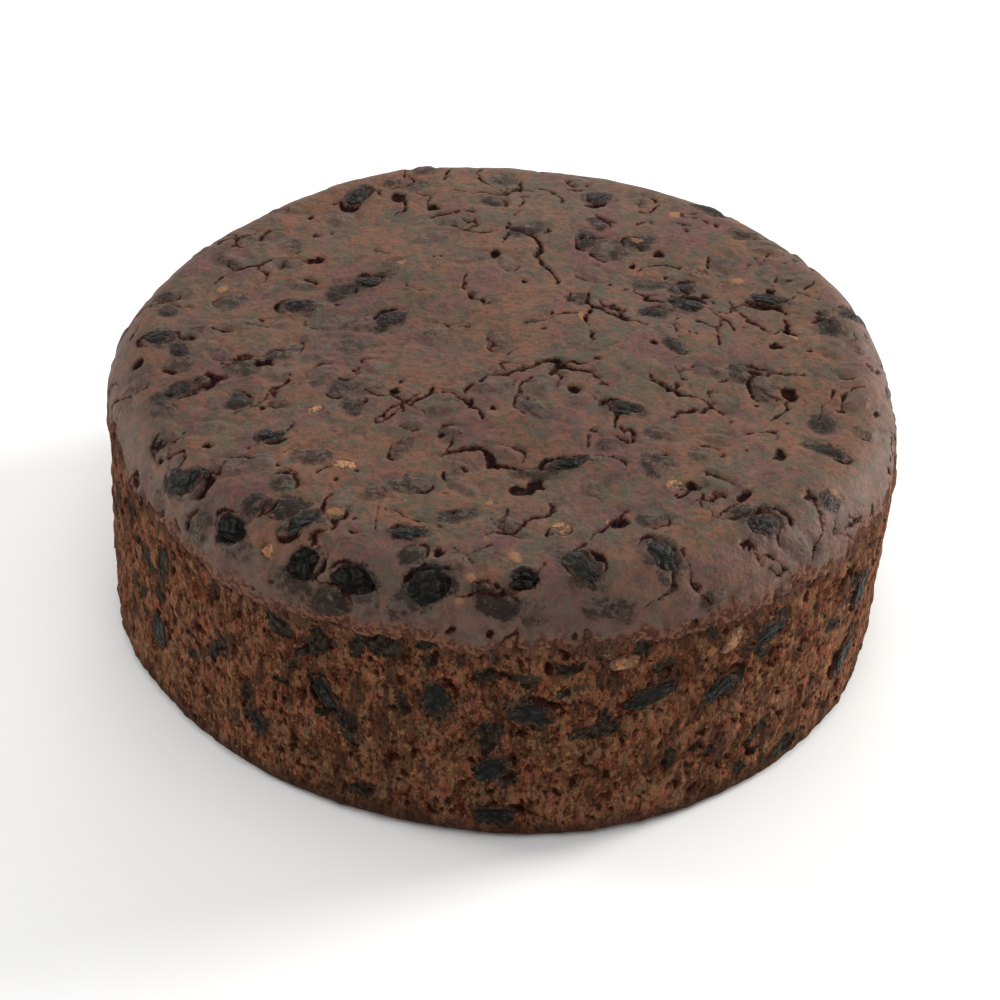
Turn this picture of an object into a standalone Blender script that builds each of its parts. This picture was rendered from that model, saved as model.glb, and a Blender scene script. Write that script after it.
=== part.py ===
"""A round, dark, rich fruit cake: whole and uncut, with raisins and chopped nuts baked into its surface.

Metres, +Z up. The origin is the middle of the flat underside, and bearings are counted from +X
towards +Y. The cake is one solid turned from a profile and then made uneven, as a baked cake is.
Each fruit that lies open at the surface is a solid of its own, in a socket that fits round it.
"""

import math

import bmesh
import bpy
from mathutils import Matrix, Vector
from mathutils.bvhtree import BVHTree

MM = 0.001

# The cake's profile. The ring is its widest level, where the side ends and the shoulder begins.
RING_RADIUS = 100 * MM
RING_HEIGHT = 56 * MM
FOOT_RADIUS = 99 * MM
FOOT_ROUNDING = 4.5 * MM
SHOULDER_WIDTH = 13 * MM
SHOULDER_RISE = 17 * MM
CROWN_RISE = 3 * MM

# How finely the profile is cut up.
SECTORS = 72
CROWN_STEPS = 5
SHOULDER_STEPS = 5
SIDE_STEPS = 5
FOOT_STEPS = 2

# Unevenness of the outline: lobes as (how many round the cake, depth, bearing of a crest).
RING_LOBES = ((2, 2.4 * MM, 122), (3, 1.3 * MM, 74), (7, 0.3 * MM, 20))
FOOT_LOBES = ((1, 0.7 * MM, 150), (2, 0.5 * MM, 90), (3, 1.8 * MM, 54), (8, 0.3 * MM, 10))
# Swells of the top: (wavelength, height, bearing they run along, phase), angles in degrees.
TOP_SWELLS = (
    (95 * MM, 0.7 * MM, 25, 40),
    (62 * MM, 0.5 * MM, 115, 200),
    (47 * MM, 0.35 * MM, 70, 310),
)

# Fruit. Each stands proud of the surface a little, and the rest of it is in the cake.
FRUIT_GAP = 0.3 * MM
RAISIN_PROUD = 1.5 * MM
NUT_PROUD = 1.0 * MM
RAISIN_RIDGES = 4
RAISIN_RIDGE_DEPTH = 0.2
RAISIN_RINGS = 5
RAISIN_THICKNESS = 0.75  # of its width
RAISIN_BLUNTNESS = 0.75  # the power that pushes its width out towards its ends
RAISIN_BEND = 0.15  # of its width
NUT_THICKNESS = 0.8  # of its width
NUT_BLOCKINESS = 0.7  # the power that squares a ball up into a chopped chunk

# Fruit on the top: bearing, distance from the middle, length, width and turn (degrees and mm).
TOP_RAISINS = (
    (-132, 94, 11, 7, -50),
    (-119, 94, 11, 8, -10),
    (-111, 94, 12, 7.5, -40),
    (-100, 94, 12, 10, 0),
    (-87, 92, 7, 6, 0),
    (-79, 90, 13, 9, -50),
    (-67, 91, 12, 10, -65),
    (-50, 93, 12, 8, 30),
    (-122, 86, 13, 6, 25),
    (-106, 80, 11, 6, 10),
    (-73, 53, 12, 5.5, 5),
    (-46, 41, 10, 6, -5),
    (-144, 93, 15, 9, -35),
    (-144, 70, 11, 6.5, 15),
    (-166, 81, 17, 7.5, 28),
    (179, 86, 10, 7, 30),
    (162, 55, 12, 8, 0),
    (142, 44, 10, 7, -15),
    (24, 50, 12, 8.5, -25),
    (20, 71, 12, 6, -20),
    (72, 79, 11, 8, 40),
    (118, 84, 12, 7, 70),
)
TOP_NUTS = (
    (36, 62, 8, 6.5, -20),
    (-147, 54, 7, 5, 40),
    (-126, 64, 9, 5.5, -10),
    (-125, 94, 7.5, 6.5, 50),
    (-80, 76, 9, 8.5, 30),
    (-56, 71, 7, 5.5, 0),
)
# Fruit in the side: bearing, height above the underside, length, width and turn.
SIDE_RAISINS = (
    (-115, 35, 11, 5.5, -60),
    (-98, 41, 13, 9, 85),
    (-86, 39, 12, 8, -10),
    (-91, 22, 10, 6, 40),
    (-91, 8, 12, 6, 0),
    (-70, 42, 14, 5.5, 22),
    (-60, 38, 11, 7, 35),
    (-53, 50, 9, 8, 0),
    (-31, 41, 13, 7, 80),
    (-33, 21, 13, 7, 60),
    (-127, 18, 10, 6, -50),
    (-149, 23, 10, 6, 80),
)
SIDE_NUTS = ((-74, 53, 8, 5, 0), (-59, 52, 8, 5, 50))
# The far side has the same mix, spread evenly: raisins step round it at rising and falling heights.
FAR_RAISINS = 6
FAR_FIRST_BEARING = 0
FAR_BEARING_STEP = 36
FAR_HEIGHTS = (30, 46, 16)

CRUMB_COLOUR = (0.135, 0.062, 0.036)
RAISIN_COLOUR = (0.012, 0.009, 0.010)
NUT_COLOUR = (0.36, 0.20, 0.085)


def clear_scene():
    for obj in list(bpy.data.objects):
        bpy.data.objects.remove(obj)


def new_collection(name):
    collection = bpy.data.collections.new(name)
    bpy.context.scene.collection.children.link(collection)
    return collection


def new_material(name, colour, roughness):
    material = bpy.data.materials.new(name)
    material.use_nodes = True
    shader = material.node_tree.nodes["Principled BSDF"]
    shader.inputs["Base Color"].default_value = (*colour, 1)
    shader.inputs["Roughness"].default_value = roughness
    shader.inputs["Metallic"].default_value = 0
    return material


def lobed(bearing, lobes):
    """How far the outline stands out at a bearing, in radians."""
    return sum(depth * math.cos(count * (bearing - math.radians(crest))) for count, depth, crest in lobes)


def swell(x, y):
    """How far the top stands up at a place."""
    height = 0
    for wavelength, rise, bearing, phase in TOP_SWELLS:
        along = x * math.cos(math.radians(bearing)) + y * math.sin(math.radians(bearing))
        height += rise * math.sin(2 * math.pi * along / wavelength + math.radians(phase))
    return height


def cake_profile():
    """The even cake's outline as (radius, height), from the crown down the side to the underside."""
    crown_radius = RING_RADIUS - SHOULDER_WIDTH
    shoulder_top = RING_HEIGHT + SHOULDER_RISE
    points = []
    for step in range(CROWN_STEPS):
        share = step / CROWN_STEPS
        points.append((share * crown_radius, shoulder_top + CROWN_RISE * (1 - share**2)))
    for step in range(SHOULDER_STEPS):
        turn = math.pi / 2 * step / SHOULDER_STEPS
        radius = crown_radius + SHOULDER_WIDTH * math.sin(turn)
        points.append((radius, RING_HEIGHT + SHOULDER_RISE * math.cos(turn)))
    for step in range(SIDE_STEPS):
        share = step / SIDE_STEPS
        radius = RING_RADIUS + share * (FOOT_RADIUS - RING_RADIUS)
        points.append((radius, RING_HEIGHT + share * (FOOT_ROUNDING - RING_HEIGHT)))
    for step in range(FOOT_STEPS + 1):
        turn = math.pi / 2 * step / FOOT_STEPS
        radius = FOOT_RADIUS - FOOT_ROUNDING * (1 - math.cos(turn))
        points.append((radius, FOOT_ROUNDING * (1 - math.sin(turn))))
    points.append((0, 0))
    return points


def turned_mesh(name, profile):
    """The profile turned about Z into a closed mesh."""
    mesh = bpy.data.meshes.new(name)
    edges = [(i, i + 1) for i in range(len(profile) - 1)]
    mesh.from_pydata([(radius, 0, height) for radius, height in profile], edges, [])
    obj = bpy.data.objects.new(name + "_profile", mesh)
    bpy.context.scene.collection.objects.link(obj)
    screw = obj.modifiers.new("turn", "SCREW")
    screw.axis = "Z"
    screw.steps = SECTORS
    screw.render_steps = SECTORS
    screw.use_merge_vertices = True
    screw.merge_threshold = 0.0001
    turned = bpy.data.meshes.new_from_object(obj.evaluated_get(bpy.context.evaluated_depsgraph_get()))
    turned.name = name
    bpy.data.objects.remove(obj)
    return turned


def make_uneven(mesh):
    """Moves the even cake's vertices out by the lobes of its outline, and its top up by the swells."""
    for vertex in mesh.vertices:
        x, y, z = vertex.co
        bearing = math.atan2(y, x)
        side_share = min(z / RING_HEIGHT, 1)
        lobe = side_share * lobed(bearing, RING_LOBES) + (1 - side_share) * lobed(bearing, FOOT_LOBES)
        vertex.co.x = x * (1 + lobe / RING_RADIUS)
        vertex.co.y = y * (1 + lobe / RING_RADIUS)
        top_share = min(max((z - RING_HEIGHT) / SHOULDER_RISE, 0), 1)
        vertex.co.z = z + top_share * swell(x, y)


def make_cake(collection, sockets, material):
    mesh = turned_mesh("cake", cake_profile())
    make_uneven(mesh)
    mesh.materials.clear()
    mesh.materials.append(material)
    mesh.shade_smooth()
    cake = bpy.data.objects.new("cake", mesh)
    collection.objects.link(cake)
    cut = cake.modifiers.new("sockets", "BOOLEAN")
    cut.operation = "DIFFERENCE"
    cut.operand_type = "COLLECTION"
    cut.collection = sockets
    cut.solver = "EXACT"
    return cake


def raisin_form(length, width, turn):
    """A dried raisin: a blunt ovoid with its skin shrunk into ridges that run from end to end."""
    form = bmesh.new()
    bmesh.ops.create_uvsphere(form, u_segments=2 * RAISIN_RIDGES, v_segments=RAISIN_RINGS, radius=0.5)
    for vertex in form.verts:
        x, y, z = vertex.co
        around = math.atan2(y, x)
        ridge = 0.5 - 0.5 * math.cos(RAISIN_RIDGES * around)
        shrunk = 1 - RAISIN_RIDGE_DEPTH * ridge * (1 + 0.4 * math.sin(2 * around + turn))
        along = math.copysign(abs(2 * z) ** RAISIN_BLUNTNESS, z) / 2
        bend = RAISIN_BEND * (0.5 - 2 * along**2)
        across = x * shrunk + bend
        vertex.co = (length * along, width * across, width * RAISIN_THICKNESS * y * shrunk)
    return form


def nut_form(length, width, turn):
    """A chopped nut: a ball squared up into a blunt chunk with one end lower than the other."""
    form = bmesh.new()
    bmesh.ops.create_icosphere(form, subdivisions=2, radius=1)
    for vertex in form.verts:
        x, y, z = (math.copysign(abs(c) ** NUT_BLOCKINESS, c) / 2 for c in vertex.co)
        taper = 1 - 0.25 * x * math.cos(turn)
        vertex.co = (length * x, width * y * taper, width * NUT_THICKNESS * z * taper)
    return form


def lengthen(form, distance):
    """Moves each vertex out along its normal."""
    form.normal_update()
    for vertex in form.verts:
        vertex.co += distance * vertex.normal


def seated(spot, outward, hint, turn, depth):
    """The frame of a fruit whose middle lies a depth below a spot of the surface."""
    across = hint.cross(outward).normalized()
    along = outward.cross(across)
    frame = Matrix((across, along, outward)).transposed().to_4x4()
    frame.translation = spot - depth * outward
    return frame @ Matrix.Rotation(turn, 4, "Z")


def add_fruit(name, make_form, size, frame, material, collections):
    """One fruit in its place, and the cutter of its socket."""
    for suffix, gap, collection in zip(("", "_socket"), (0, FRUIT_GAP), collections):
        form = make_form(*size)
        if gap:
            lengthen(form, gap)
        mesh = bpy.data.meshes.new(name + suffix)
        form.to_mesh(mesh)
        form.free()
        mesh.shade_smooth()
        mesh.materials.append(material)
        obj = bpy.data.objects.new(name + suffix, mesh)
        obj.matrix_world = frame
        obj.hide_render = gap > 0
        obj.display_type = "WIRE" if gap > 0 else "TEXTURED"
        collection.objects.link(obj)


def top_spot(surface, bearing, distance):
    """Where the top's surface is at a place, and its outward direction."""
    place = Vector((distance * math.cos(bearing), distance * math.sin(bearing), 1))
    spot, outward, _, _ = surface.ray_cast(place, Vector((0, 0, -1)))
    return spot, outward


def side_spot(surface, bearing, height):
    """Where the side's surface is at a bearing and height, and its outward direction."""
    direction = Vector((math.cos(bearing), math.sin(bearing), 0))
    spot, outward, _, _ = surface.ray_cast(direction + Vector((0, 0, height)), -direction)
    return spot, outward


def far_side_raisins():
    """The rows of the raisins in the side away from the listed ones."""
    for index in range(FAR_RAISINS):
        bearing = FAR_FIRST_BEARING + index * FAR_BEARING_STEP
        height = FAR_HEIGHTS[index % len(FAR_HEIGHTS)]
        yield bearing, height, 10 + index % 3, 6 + index % 2, 37 * index


def set_fruit(name, rows, find_spot, hint, make_form, proud, thickness, material, surface, collections):
    """A row of fruit of one kind, numbered from 1."""
    for number, (bearing, place, length, width, turn) in enumerate(rows, start=1):
        length, width, place = length * MM, width * MM, place * MM
        bearing, turn = math.radians(bearing), math.radians(turn)
        spot, outward = find_spot(surface, bearing, place)
        depth = width * thickness / 2 - proud
        frame = seated(spot, outward, hint, turn, depth)
        add_fruit(f"{name}_{number:02d}", make_form, (length, width, turn), frame, material, collections)


def main():
    clear_scene()
    part = new_collection("fruit_cake")
    sockets = new_collection("sockets")
    crumb = new_material("crumb", CRUMB_COLOUR, 0.85)
    raisin = new_material("raisin", RAISIN_COLOUR, 0.45)
    nut = new_material("nut", NUT_COLOUR, 0.6)
    cake = make_cake(part, sockets, crumb)
    surface = BVHTree.FromPolygons(
        [vertex.co for vertex in cake.data.vertices],
        [face.vertices for face in cake.data.polygons],
    )
    north, up = Vector((0, 1, 0)), Vector((0, 0, 1))
    raisins = (raisin_form, RAISIN_PROUD, RAISIN_THICKNESS, raisin)
    nuts = (nut_form, NUT_PROUD, NUT_THICKNESS, nut)
    for name, rows, find_spot, hint, kind in (
        ("top_raisin", TOP_RAISINS, top_spot, north, raisins),
        ("top_nut", TOP_NUTS, top_spot, north, nuts),
        ("side_raisin", (*SIDE_RAISINS, *far_side_raisins()), side_spot, up, raisins),
        ("side_nut", SIDE_NUTS, side_spot, up, nuts),
    ):
        set_fruit(name, rows, find_spot, hint, *kind, surface, (part, sockets))


main()
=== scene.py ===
"""Looks of a round, dark, rich fruit cake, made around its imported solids.

The cake is baked in pieces: a smooth skin over the top and shoulder, a rough crumb side, an underside,
and the raisins and nuts that lie open at the surface. All sizes are in metres and bearings are counted
from +X towards +Y.
"""

import itertools
import math

import bmesh
import bpy
import numpy as np
from bpy.props import FloatProperty, FloatVectorProperty, IntProperty, PointerProperty
from bpy.types import Operator, Panel, PropertyGroup
from mathutils import Matrix, Vector


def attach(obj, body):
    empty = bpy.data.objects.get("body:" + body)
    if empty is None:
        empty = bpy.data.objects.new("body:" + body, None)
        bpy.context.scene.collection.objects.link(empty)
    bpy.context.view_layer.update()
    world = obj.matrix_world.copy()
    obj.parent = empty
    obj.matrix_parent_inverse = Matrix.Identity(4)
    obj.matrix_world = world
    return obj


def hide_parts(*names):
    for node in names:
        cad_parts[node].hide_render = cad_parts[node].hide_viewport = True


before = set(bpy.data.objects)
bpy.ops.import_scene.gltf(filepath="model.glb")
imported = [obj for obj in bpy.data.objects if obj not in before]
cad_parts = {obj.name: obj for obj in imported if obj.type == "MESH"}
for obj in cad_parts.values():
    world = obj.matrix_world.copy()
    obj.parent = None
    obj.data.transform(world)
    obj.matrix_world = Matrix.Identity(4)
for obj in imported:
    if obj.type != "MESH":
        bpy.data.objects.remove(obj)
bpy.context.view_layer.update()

bl_info = {
    "name": "Fruit Cake",
    "version": (1, 0, 0),
    "blender": (4, 5, 0),
    "location": "3D View > Sidebar > Fruit Cake",
    "description": "Bakes a rich fruit cake with a cracked skin, a rough crumb and fruit in its surface",
    "category": "Add Mesh",
}

MM = 0.001

# Unevenness of the cake's outline: lobes as (how many round the cake, depth, bearing of a crest).
RING_LOBES = ((2, 2.4 * MM, 122), (3, 1.3 * MM, 74), (7, 0.3 * MM, 20))
FOOT_LOBES = ((1, 0.7 * MM, 150), (2, 0.5 * MM, 90), (3, 1.8 * MM, 54), (8, 0.3 * MM, 10))
# Swells of the top: (wavelength, height, bearing they run along, phase), angles in degrees.
TOP_SWELLS = (
    (95 * MM, 0.7 * MM, 25, 40),
    (62 * MM, 0.5 * MM, 115, 200),
    (47 * MM, 0.35 * MM, 70, 310),
)

# The tables named MAIN are in millimetres and degrees.

# Where the top cracked in the oven: each crack's start as X and Y, its heading, its length, how far it
# turns on the way, and how wide it gapes.
MAIN_CRACKS = (
    (0, 58, -60, 38, -15, 0.9),
    (3, 84, -58, 14, 0, 0.8),
    (21, 24, -55, 24, 10, 0.9),
    (21, 7, 65, 14, -30, 0.9),
    (33, 30, -60, 15, 0, 0.8),
    (48, 15, -45, 17, -50, 0.8),
    (-6, -19, 40, 40, -90, 1.0),
    (6, -15, -70, 9, 0, 0.7),
    (-23, -28, 57, 10, -20, 0.8),
    (-16, -22, -68, 18, 15, 0.9),
    (-33, -34, 43, 10, -33, 0.8),
    (-15, -46, 15, 24, -60, 1.6),
    (35, -16, -25, 16, -20, 1.0),
    (37, -30, -15, 17, 20, 0.6),
    (-5, -77, 11, 26, 60, 0.7),
    (63, 25, -35, 14, -20, 1.3),
    (73, 15, -71, 10, 0, 1.4),
)
# Pits as X, Y, length, width and turn.
MAIN_PITS = (
    (5, -58, 10, 4, 48),
    (70, -17, 5, 4, -20),
    (63, -43, 4, 3, -30),
    (-49, 40, 5, 3, 20),
    (-3, 40, 4, 3.5, 0),
    (41, 46, 4, 3, 0),
    (69, 1, 5, 3, 60),
    (54, -60, 3, 2.5, 0),
    (-91, -8, 4, 2.5, 60),
    (-84, -41, 4, 2, 40),
    (-59, -9, 6, 3, 10),
)
# Raisins just under the skin as bearing, distance from the middle, length, width, turn, and how bare.
MAIN_RAISINS_BELOW = (
    (-44, 52, 11, 7, -20, 0.3),
    (-50, 86, 12, 7, 0, 0.6),
    (-99, 71, 12, 7, 20, 0.6),
    (-100, 21, 12, 7, 30, 0.2),
    (-150, 39, 12, 7, 10, 0.4),
    (-111, 63, 11, 7, -10, 0.5),
    (-133, 67, 12, 8, 20, 0.5),
    (-100, 92, 9, 6, 10, 0.1),
    (176, 76, 12, 7, 20, 0.3),
    (-126, 86, 11, 7, 0, 0.9),
    (-104, 88, 9, 6, 40, 0.7),
    (-93, 86, 9, 6, 70, 0.3),
    (-76, 99, 13, 6, 5, 0.5),
    (-120, 103, 12, 8, -30, 0.5),
    (-114, 104, 11, 8, -15, 0.75),
    (-109, 102, 10, 7, -60, 0.3),
    (-104, 101, 9, 6, 0, 0.5),
    (-130, 101, 11, 7, -40, 0.35),
    (-162, 88, 10, 7, -60, 0.4),
    (-170, 65, 11, 7, 20, 0.5),
    (-62, 102, 9, 6, 30, 0.4),
)
# Nuts just under the skin as bearing, distance from the middle, length, width and turn.
MAIN_NUTS_BELOW = (
    (56, 82, 7, 4, 10),
    (56, 62, 4, 3, 0),
    (29, 70, 6, 4, 0),
    (-119, 82, 4, 3, 0),
    (127, 44, 5, 4, 0),
    (-36, 93, 4, 3, 0),
)
# Raisins just inside the crumb as bearing, height, length, width, turn, and how bare.
MAIN_RAISINS_WITHIN = (
    (-77, 33, 12, 7, 10, 0.4),
    (-110, 8, 10, 5, 20, 0.5),
    (-45, 7, 18, 5, 8, 0.2),
    (-107, 54, 12, 6, -10, 0.8),
    (-115, 51, 10, 5, -30, 0.9),
    (-122, 50, 9, 5, -20, 0.6),
    (-135, 32, 9, 4, 60, 0.1),
    (-147, 45, 13, 6, 85, 0.9),
    (-129, 25, 10, 4, 80, 0.6),
    (-92, 50, 8, 5, 0, 0.8),
    (-81, 53, 8, 4, -10, 0.7),
    (-92, 33, 8, 5, 15, 0.8),
    (-74, 52, 7, 4, 10, 0.6),
)
# Raisins that lie bare and black. The others have a film of baked batter over them, thinner in the side.
BARE_RAISINS = ("top_raisin_01", "top_raisin_02", "top_raisin_03", "top_raisin_04", "top_raisin_05")
FILMED_BARENESS = {"top_raisin": 0.0, "side_raisin": 0.45}

# Where the skin's torn edge slumps down the side: bearing in degrees, spread in radians, and depth.
SLUMP_BEARING = -125
SLUMP_SPREAD = 0.2
SLUMP_DEPTH = 4.5 * MM
# Which way from the middle the small raisins under the skin lie closest, in degrees.
CROWDED_BEARING = -140

# Each choice by chance starts from its own number, so that every cake comes out the same.
SKIN_CHANCE = 816
CRUMB_CHANCE = 53
RAISIN_CHANCE = 60
NUT_CHANCE = 90

GRID_STEP = (0.5 * MM, 0.25 * MM)
SKIN_COUNT = (140, 312)
CRUMB_COLUMNS = (360, 1044)
CRUMB_ROWS = (36, 86)
BALL_DIVISIONS = (4, 5)

# Heights on the shoulder: where the skin's relief ends, where the crumb starts, hidden under the skin, and
# where the crumb comes up to the skin's underside.
SKIN_DRAWN_TO = 50 * MM
CRUMB_TOP = 66 * MM
CRUMB_SHOWN = 63.8 * MM
# How far the crumb runs in under the foot, and where the underside takes over.
CRUMB_HEM = 4 * MM
UNDERSIDE_START = 3 * MM
# How far the crumb lies sunk into the cake's own surface.
CRUMB_SUNK = 0.8 * MM
# How far around a crack the mesh is drawn in towards it.
LINE_REACH = 2 * MM
# What the layers say of a place where nothing is drawn.
EMPTY = {"opening": -3 * MM, "raisin": -1, "nut": -1, "along": 0, "across": 0, "bare": 0}
# Where the surface climbs on to a fruit, from all gone to all there, as shares of the way to its rim.
WAY_OUT = {"bare": (0.5, 0.85), "raisin": (0.4, 0.8), "nut": (0.3, 0.65)}

# Lights as name, place, width, power and tint. All of them aim at the cake.
LIGHTS = (
    ("top_light", (0.1, 0.0, 1.3), 0.9, 2.7, (1, 1, 1)),
    ("right_light", (1.1, 0.42, 0.42), 0.45, 20, (1, 0.98, 0.95)),
    ("left_light", (-1.1, 0.3, 0.42), 0.4, 7, (1, 0.99, 0.97)),
    ("back_light", (0.0, 1.3, 0.6), 0.8, 3.5, (1, 1, 1)),
    ("front_light", (0.0, -0.75, 1.25), 0.8, 4.3, (1, 1, 1)),
)
LIGHTS_AIM = (0, 0, 40 * MM)
# The room's even light, and half the floor's width.
ROOM_LIGHT = 0.45
FLOOR_HALF = 4


# -----------------------------------------------------------------------------
# Settings


def fineness(choice):
    """The full one of a quick and a full value."""
    quick, full = choice
    return full


def length(name, description, default):
    """A size, in metres."""
    return FloatProperty(name=name, description=description, default=default, unit="LENGTH", precision=5)


def colour(name, description, default):
    """A colour, as its share of each light."""
    return FloatVectorProperty(
        name=name, description=description, default=default, subtype="COLOR", size=3, min=0, max=1
    )


def number(name, description, default):
    """How many of a thing there are."""
    return IntProperty(name=name, description=description, default=default, min=0)


def degrees(name, description, default):
    """An angle, whose default is given in degrees."""
    angle = math.radians(default)
    return FloatProperty(name=name, description=description, default=angle, subtype="ANGLE")


class FruitCakeBody(PropertyGroup):
    ring_radius: length("Ring radius", "Radius at the widest level", 100 * MM)
    ring_height: length("Ring height", "Height of the widest level, where the shoulder begins", 56 * MM)
    foot_radius: length("Foot radius", "Radius at the bottom of the side", 99 * MM)
    foot_rounding: length("Foot rounding", "Radius of the rounded bottom edge", 4.5 * MM)
    shoulder_width: length("Shoulder width", "How far in the shoulder rounds over", 13 * MM)
    shoulder_rise: length("Shoulder rise", "How far up the shoulder rounds over", 17 * MM)
    crown_rise: length("Crown rise", "How far the middle stands above the shoulder", 3 * MM)


class FruitCakeSkin(PropertyGroup):
    edge_height: length("Edge height", "Height at which the skin ends on the shoulder", 59 * MM)
    lump_height: length("Lump height", "How far the skin heaves over what lies under it", 0.45 * MM)
    crack_depth: length("Crack depth", "Depth of the cracks and pits", 1.3 * MM)
    crack_count: number("Small cracks", "Cracks besides the main ones", 150)
    pit_count: number("Small pits", "Pits besides the main ones", 130)
    raisin_count: number("Raisins below", "Raisins under the skin, besides the main ones", 140)
    nut_count: number("Nuts below", "Bits of nut under the skin, besides the main ones", 10)
    brown: colour("Brown", "Where the skin is clean", (0.133, 0.069, 0.044))
    dull: colour("Dull brown", "Where the skin is dull", (0.089, 0.067, 0.046))
    plum: colour("Plum", "Where fruit has stained the skin", (0.111, 0.052, 0.050))
    blush: colour("Blush", "Where the skin is thin and red", (0.170, 0.069, 0.040))
    pale: colour("Pale", "Where the skin is dry", (0.168, 0.103, 0.070))
    shade: colour("Shade", "Where the skin is dark", (0.050, 0.027, 0.020))
    # Hem is partly a greyer tone of the skin and partly painted light that lifts the shoulder out of its
    # shade.
    hem: colour("Hem", "The skin towards its edge", (0.185, 0.120, 0.102))
    torn: colour("Torn", "Crumb that shows at the skin's torn edge", (0.165, 0.072, 0.038))
    moss: colour("Moss", "Specks gone dull", (0.062, 0.063, 0.041))
    film: colour("Film", "Skin over a raisin", (0.076, 0.065, 0.048))
    bruise: colour("Bruise", "Skin over a raisin where it is stained", (0.076, 0.045, 0.037))
    crease: colour("Crease", "Folds of a raisin under the skin", (0.013, 0.0085, 0.007))
    amber: colour("Amber", "Nuts under the skin", (0.33, 0.16, 0.065))
    rust: colour("Rust", "The lips of cracks and pits", (0.052, 0.011, 0.007))
    # The black of the bottoms is partly dark crumb and partly painted shade in the depth.
    pitch: colour("Pitch", "The bottom of cracks and pits", (0.010, 0.0035, 0.003))


class FruitCakeCrumb(PropertyGroup):
    roughness_height: length("Roughness height", "How far the crumb's grains stand out", 0.65 * MM)
    pore_depth: length("Pore depth", "Depth of the pores", 1.3 * MM)
    pore_count: number("Pores", "Pores all over the side", 3600)
    raisin_count: number("Raisins within", "Raisins just inside the crumb, besides the main ones", 170)
    nut_count: number("Nuts within", "Bits of nut just inside the crumb", 40)
    orange: colour("Orange brown", "The open crumb's grains", (0.244, 0.110, 0.060))
    brown: colour("Brown", "The crumb between its grains", (0.074, 0.027, 0.012))
    russet: colour("Russet", "Warm stretches of the crumb", (0.225, 0.064, 0.034))
    olive: colour("Olive", "Dull stretches of the crumb", (0.125, 0.088, 0.048))
    red: colour("Red", "Grains stained by fruit", (0.210, 0.046, 0.028))
    moss: colour("Moss", "Grains gone dull", (0.080, 0.062, 0.030))
    straw: colour("Straw", "Pale grains", (0.44, 0.215, 0.085))
    rust: colour("Rust", "Damp crumb and the rims of pores", (0.040, 0.009, 0.005))
    # Painted shade: the crumb darkened just under the skin's edge.
    under_skin_shade: colour("Damp", "The crumb right under the skin", (0.058, 0.032, 0.025))
    # Burnt is the foot's colour, and also the painted shade in the crumb's furrows.
    burnt: colour("Burnt", "The foot", (0.045, 0.022, 0.015))
    raisin: colour("Raisin", "Raisins within the crumb", (0.020, 0.020, 0.015))
    # Peel is partly pale wrinkled skin and partly painted glints on the raisins within the crumb.
    peel_and_glint: colour("Peel", "The pale wrinkles of those raisins", (0.058, 0.057, 0.044))
    amber: colour("Amber", "Nuts within the crumb", (0.27, 0.15, 0.07))
    # Pore is partly dark crumb and partly painted shade, at the bottoms of pores.
    pore: colour("Pore", "The bottom of pores", (0.010, 0.0030, 0.0015))


class FruitCakeFruit(PropertyGroup):
    wrinkle_depth: length("Wrinkle depth", "Depth of a raisin's wrinkles", 0.8 * MM)
    raisin_cap: length("Raisin cap", "How far a raisin stands out", 0.9 * MM)
    nut_cap: length("Nut cap", "How far a nut stands out", 0.6 * MM)
    black: colour("Black", "A raisin's skin", (0.0050, 0.0048, 0.0040))
    # Partly a pale bloom and partly painted sheen, laid on the ridges that catch the light.
    bloom_and_sheen: colour("Bloom", "The ridges of a raisin's wrinkles", (0.044, 0.043, 0.035))
    film: colour("Film", "The film of batter baked on to a raisin", (0.075, 0.052, 0.042))
    batter: colour("Batter", "The skin that covers a fruit's rim", (0.110, 0.060, 0.044))
    crumb: colour("Crumb", "The crumb that covers a fruit's rim", (0.140, 0.060, 0.032))
    flesh: colour("Nut flesh", "The cut face of a nut", (0.42, 0.205, 0.075))
    toasted: colour("Toasted nut", "The toasted rim of a nut", (0.21, 0.082, 0.030))


class FruitCakeStage(PropertyGroup):
    distance: length("Camera distance", "From the camera to what it aims at", 0.8)
    elevation: degrees("Camera elevation", "How far the camera looks down", 36)
    roll: degrees("Camera roll", "How far the camera leans over", 0.7)
    aim_height: length("Aim height", "Height of what the camera aims at", 27.4 * MM)
    aim_offset: length("Aim offset", "How far to the right of the middle the camera aims", -0.9 * MM)
    lens: FloatProperty(name="Lens", description="Focal length in millimetres", default=112.07)
    floor: colour("Floor", "The plain floor", (0.92, 0.92, 0.91))


# -----------------------------------------------------------------------------
# Noise


def lattice(cell, seed):
    """A repeatable number from 0 to 1 for each corner of the noise's lattice."""
    x, y, z = cell
    mixed = (x * 374761393 + y * 668265263 + z * 1440662683 + seed * 974634777) & 0xFFFFFFFF
    mixed = ((mixed ^ (mixed >> 13)) * 1274126177) & 0xFFFFFFFF
    mixed = ((mixed ^ (mixed >> 15)) * 2246822519) & 0xFFFFFFFF
    return ((mixed ^ (mixed >> 16)) & 0xFFFF) / 65535


def noise(points, wavelength, seed):
    """Smooth noise from -1 to 1 at points whose X, Y and Z are the array's last axis."""
    scaled = np.moveaxis(np.asarray(points), -1, 0) / wavelength + 1000
    cell = np.floor(scaled).astype(np.int64)
    part = scaled - cell
    part = part**3 * (part * (part * 6 - 15) + 10)
    total = 0
    for corner in itertools.product((0, 1), repeat=3):
        weight = 1
        for axis in range(3):
            weight = weight * (part[axis] if corner[axis] else 1 - part[axis])
        total = total + weight * lattice(cell + np.reshape(corner, (3,) + (1,) * (cell.ndim - 1)), seed)
    return 2 * total - 1


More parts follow.
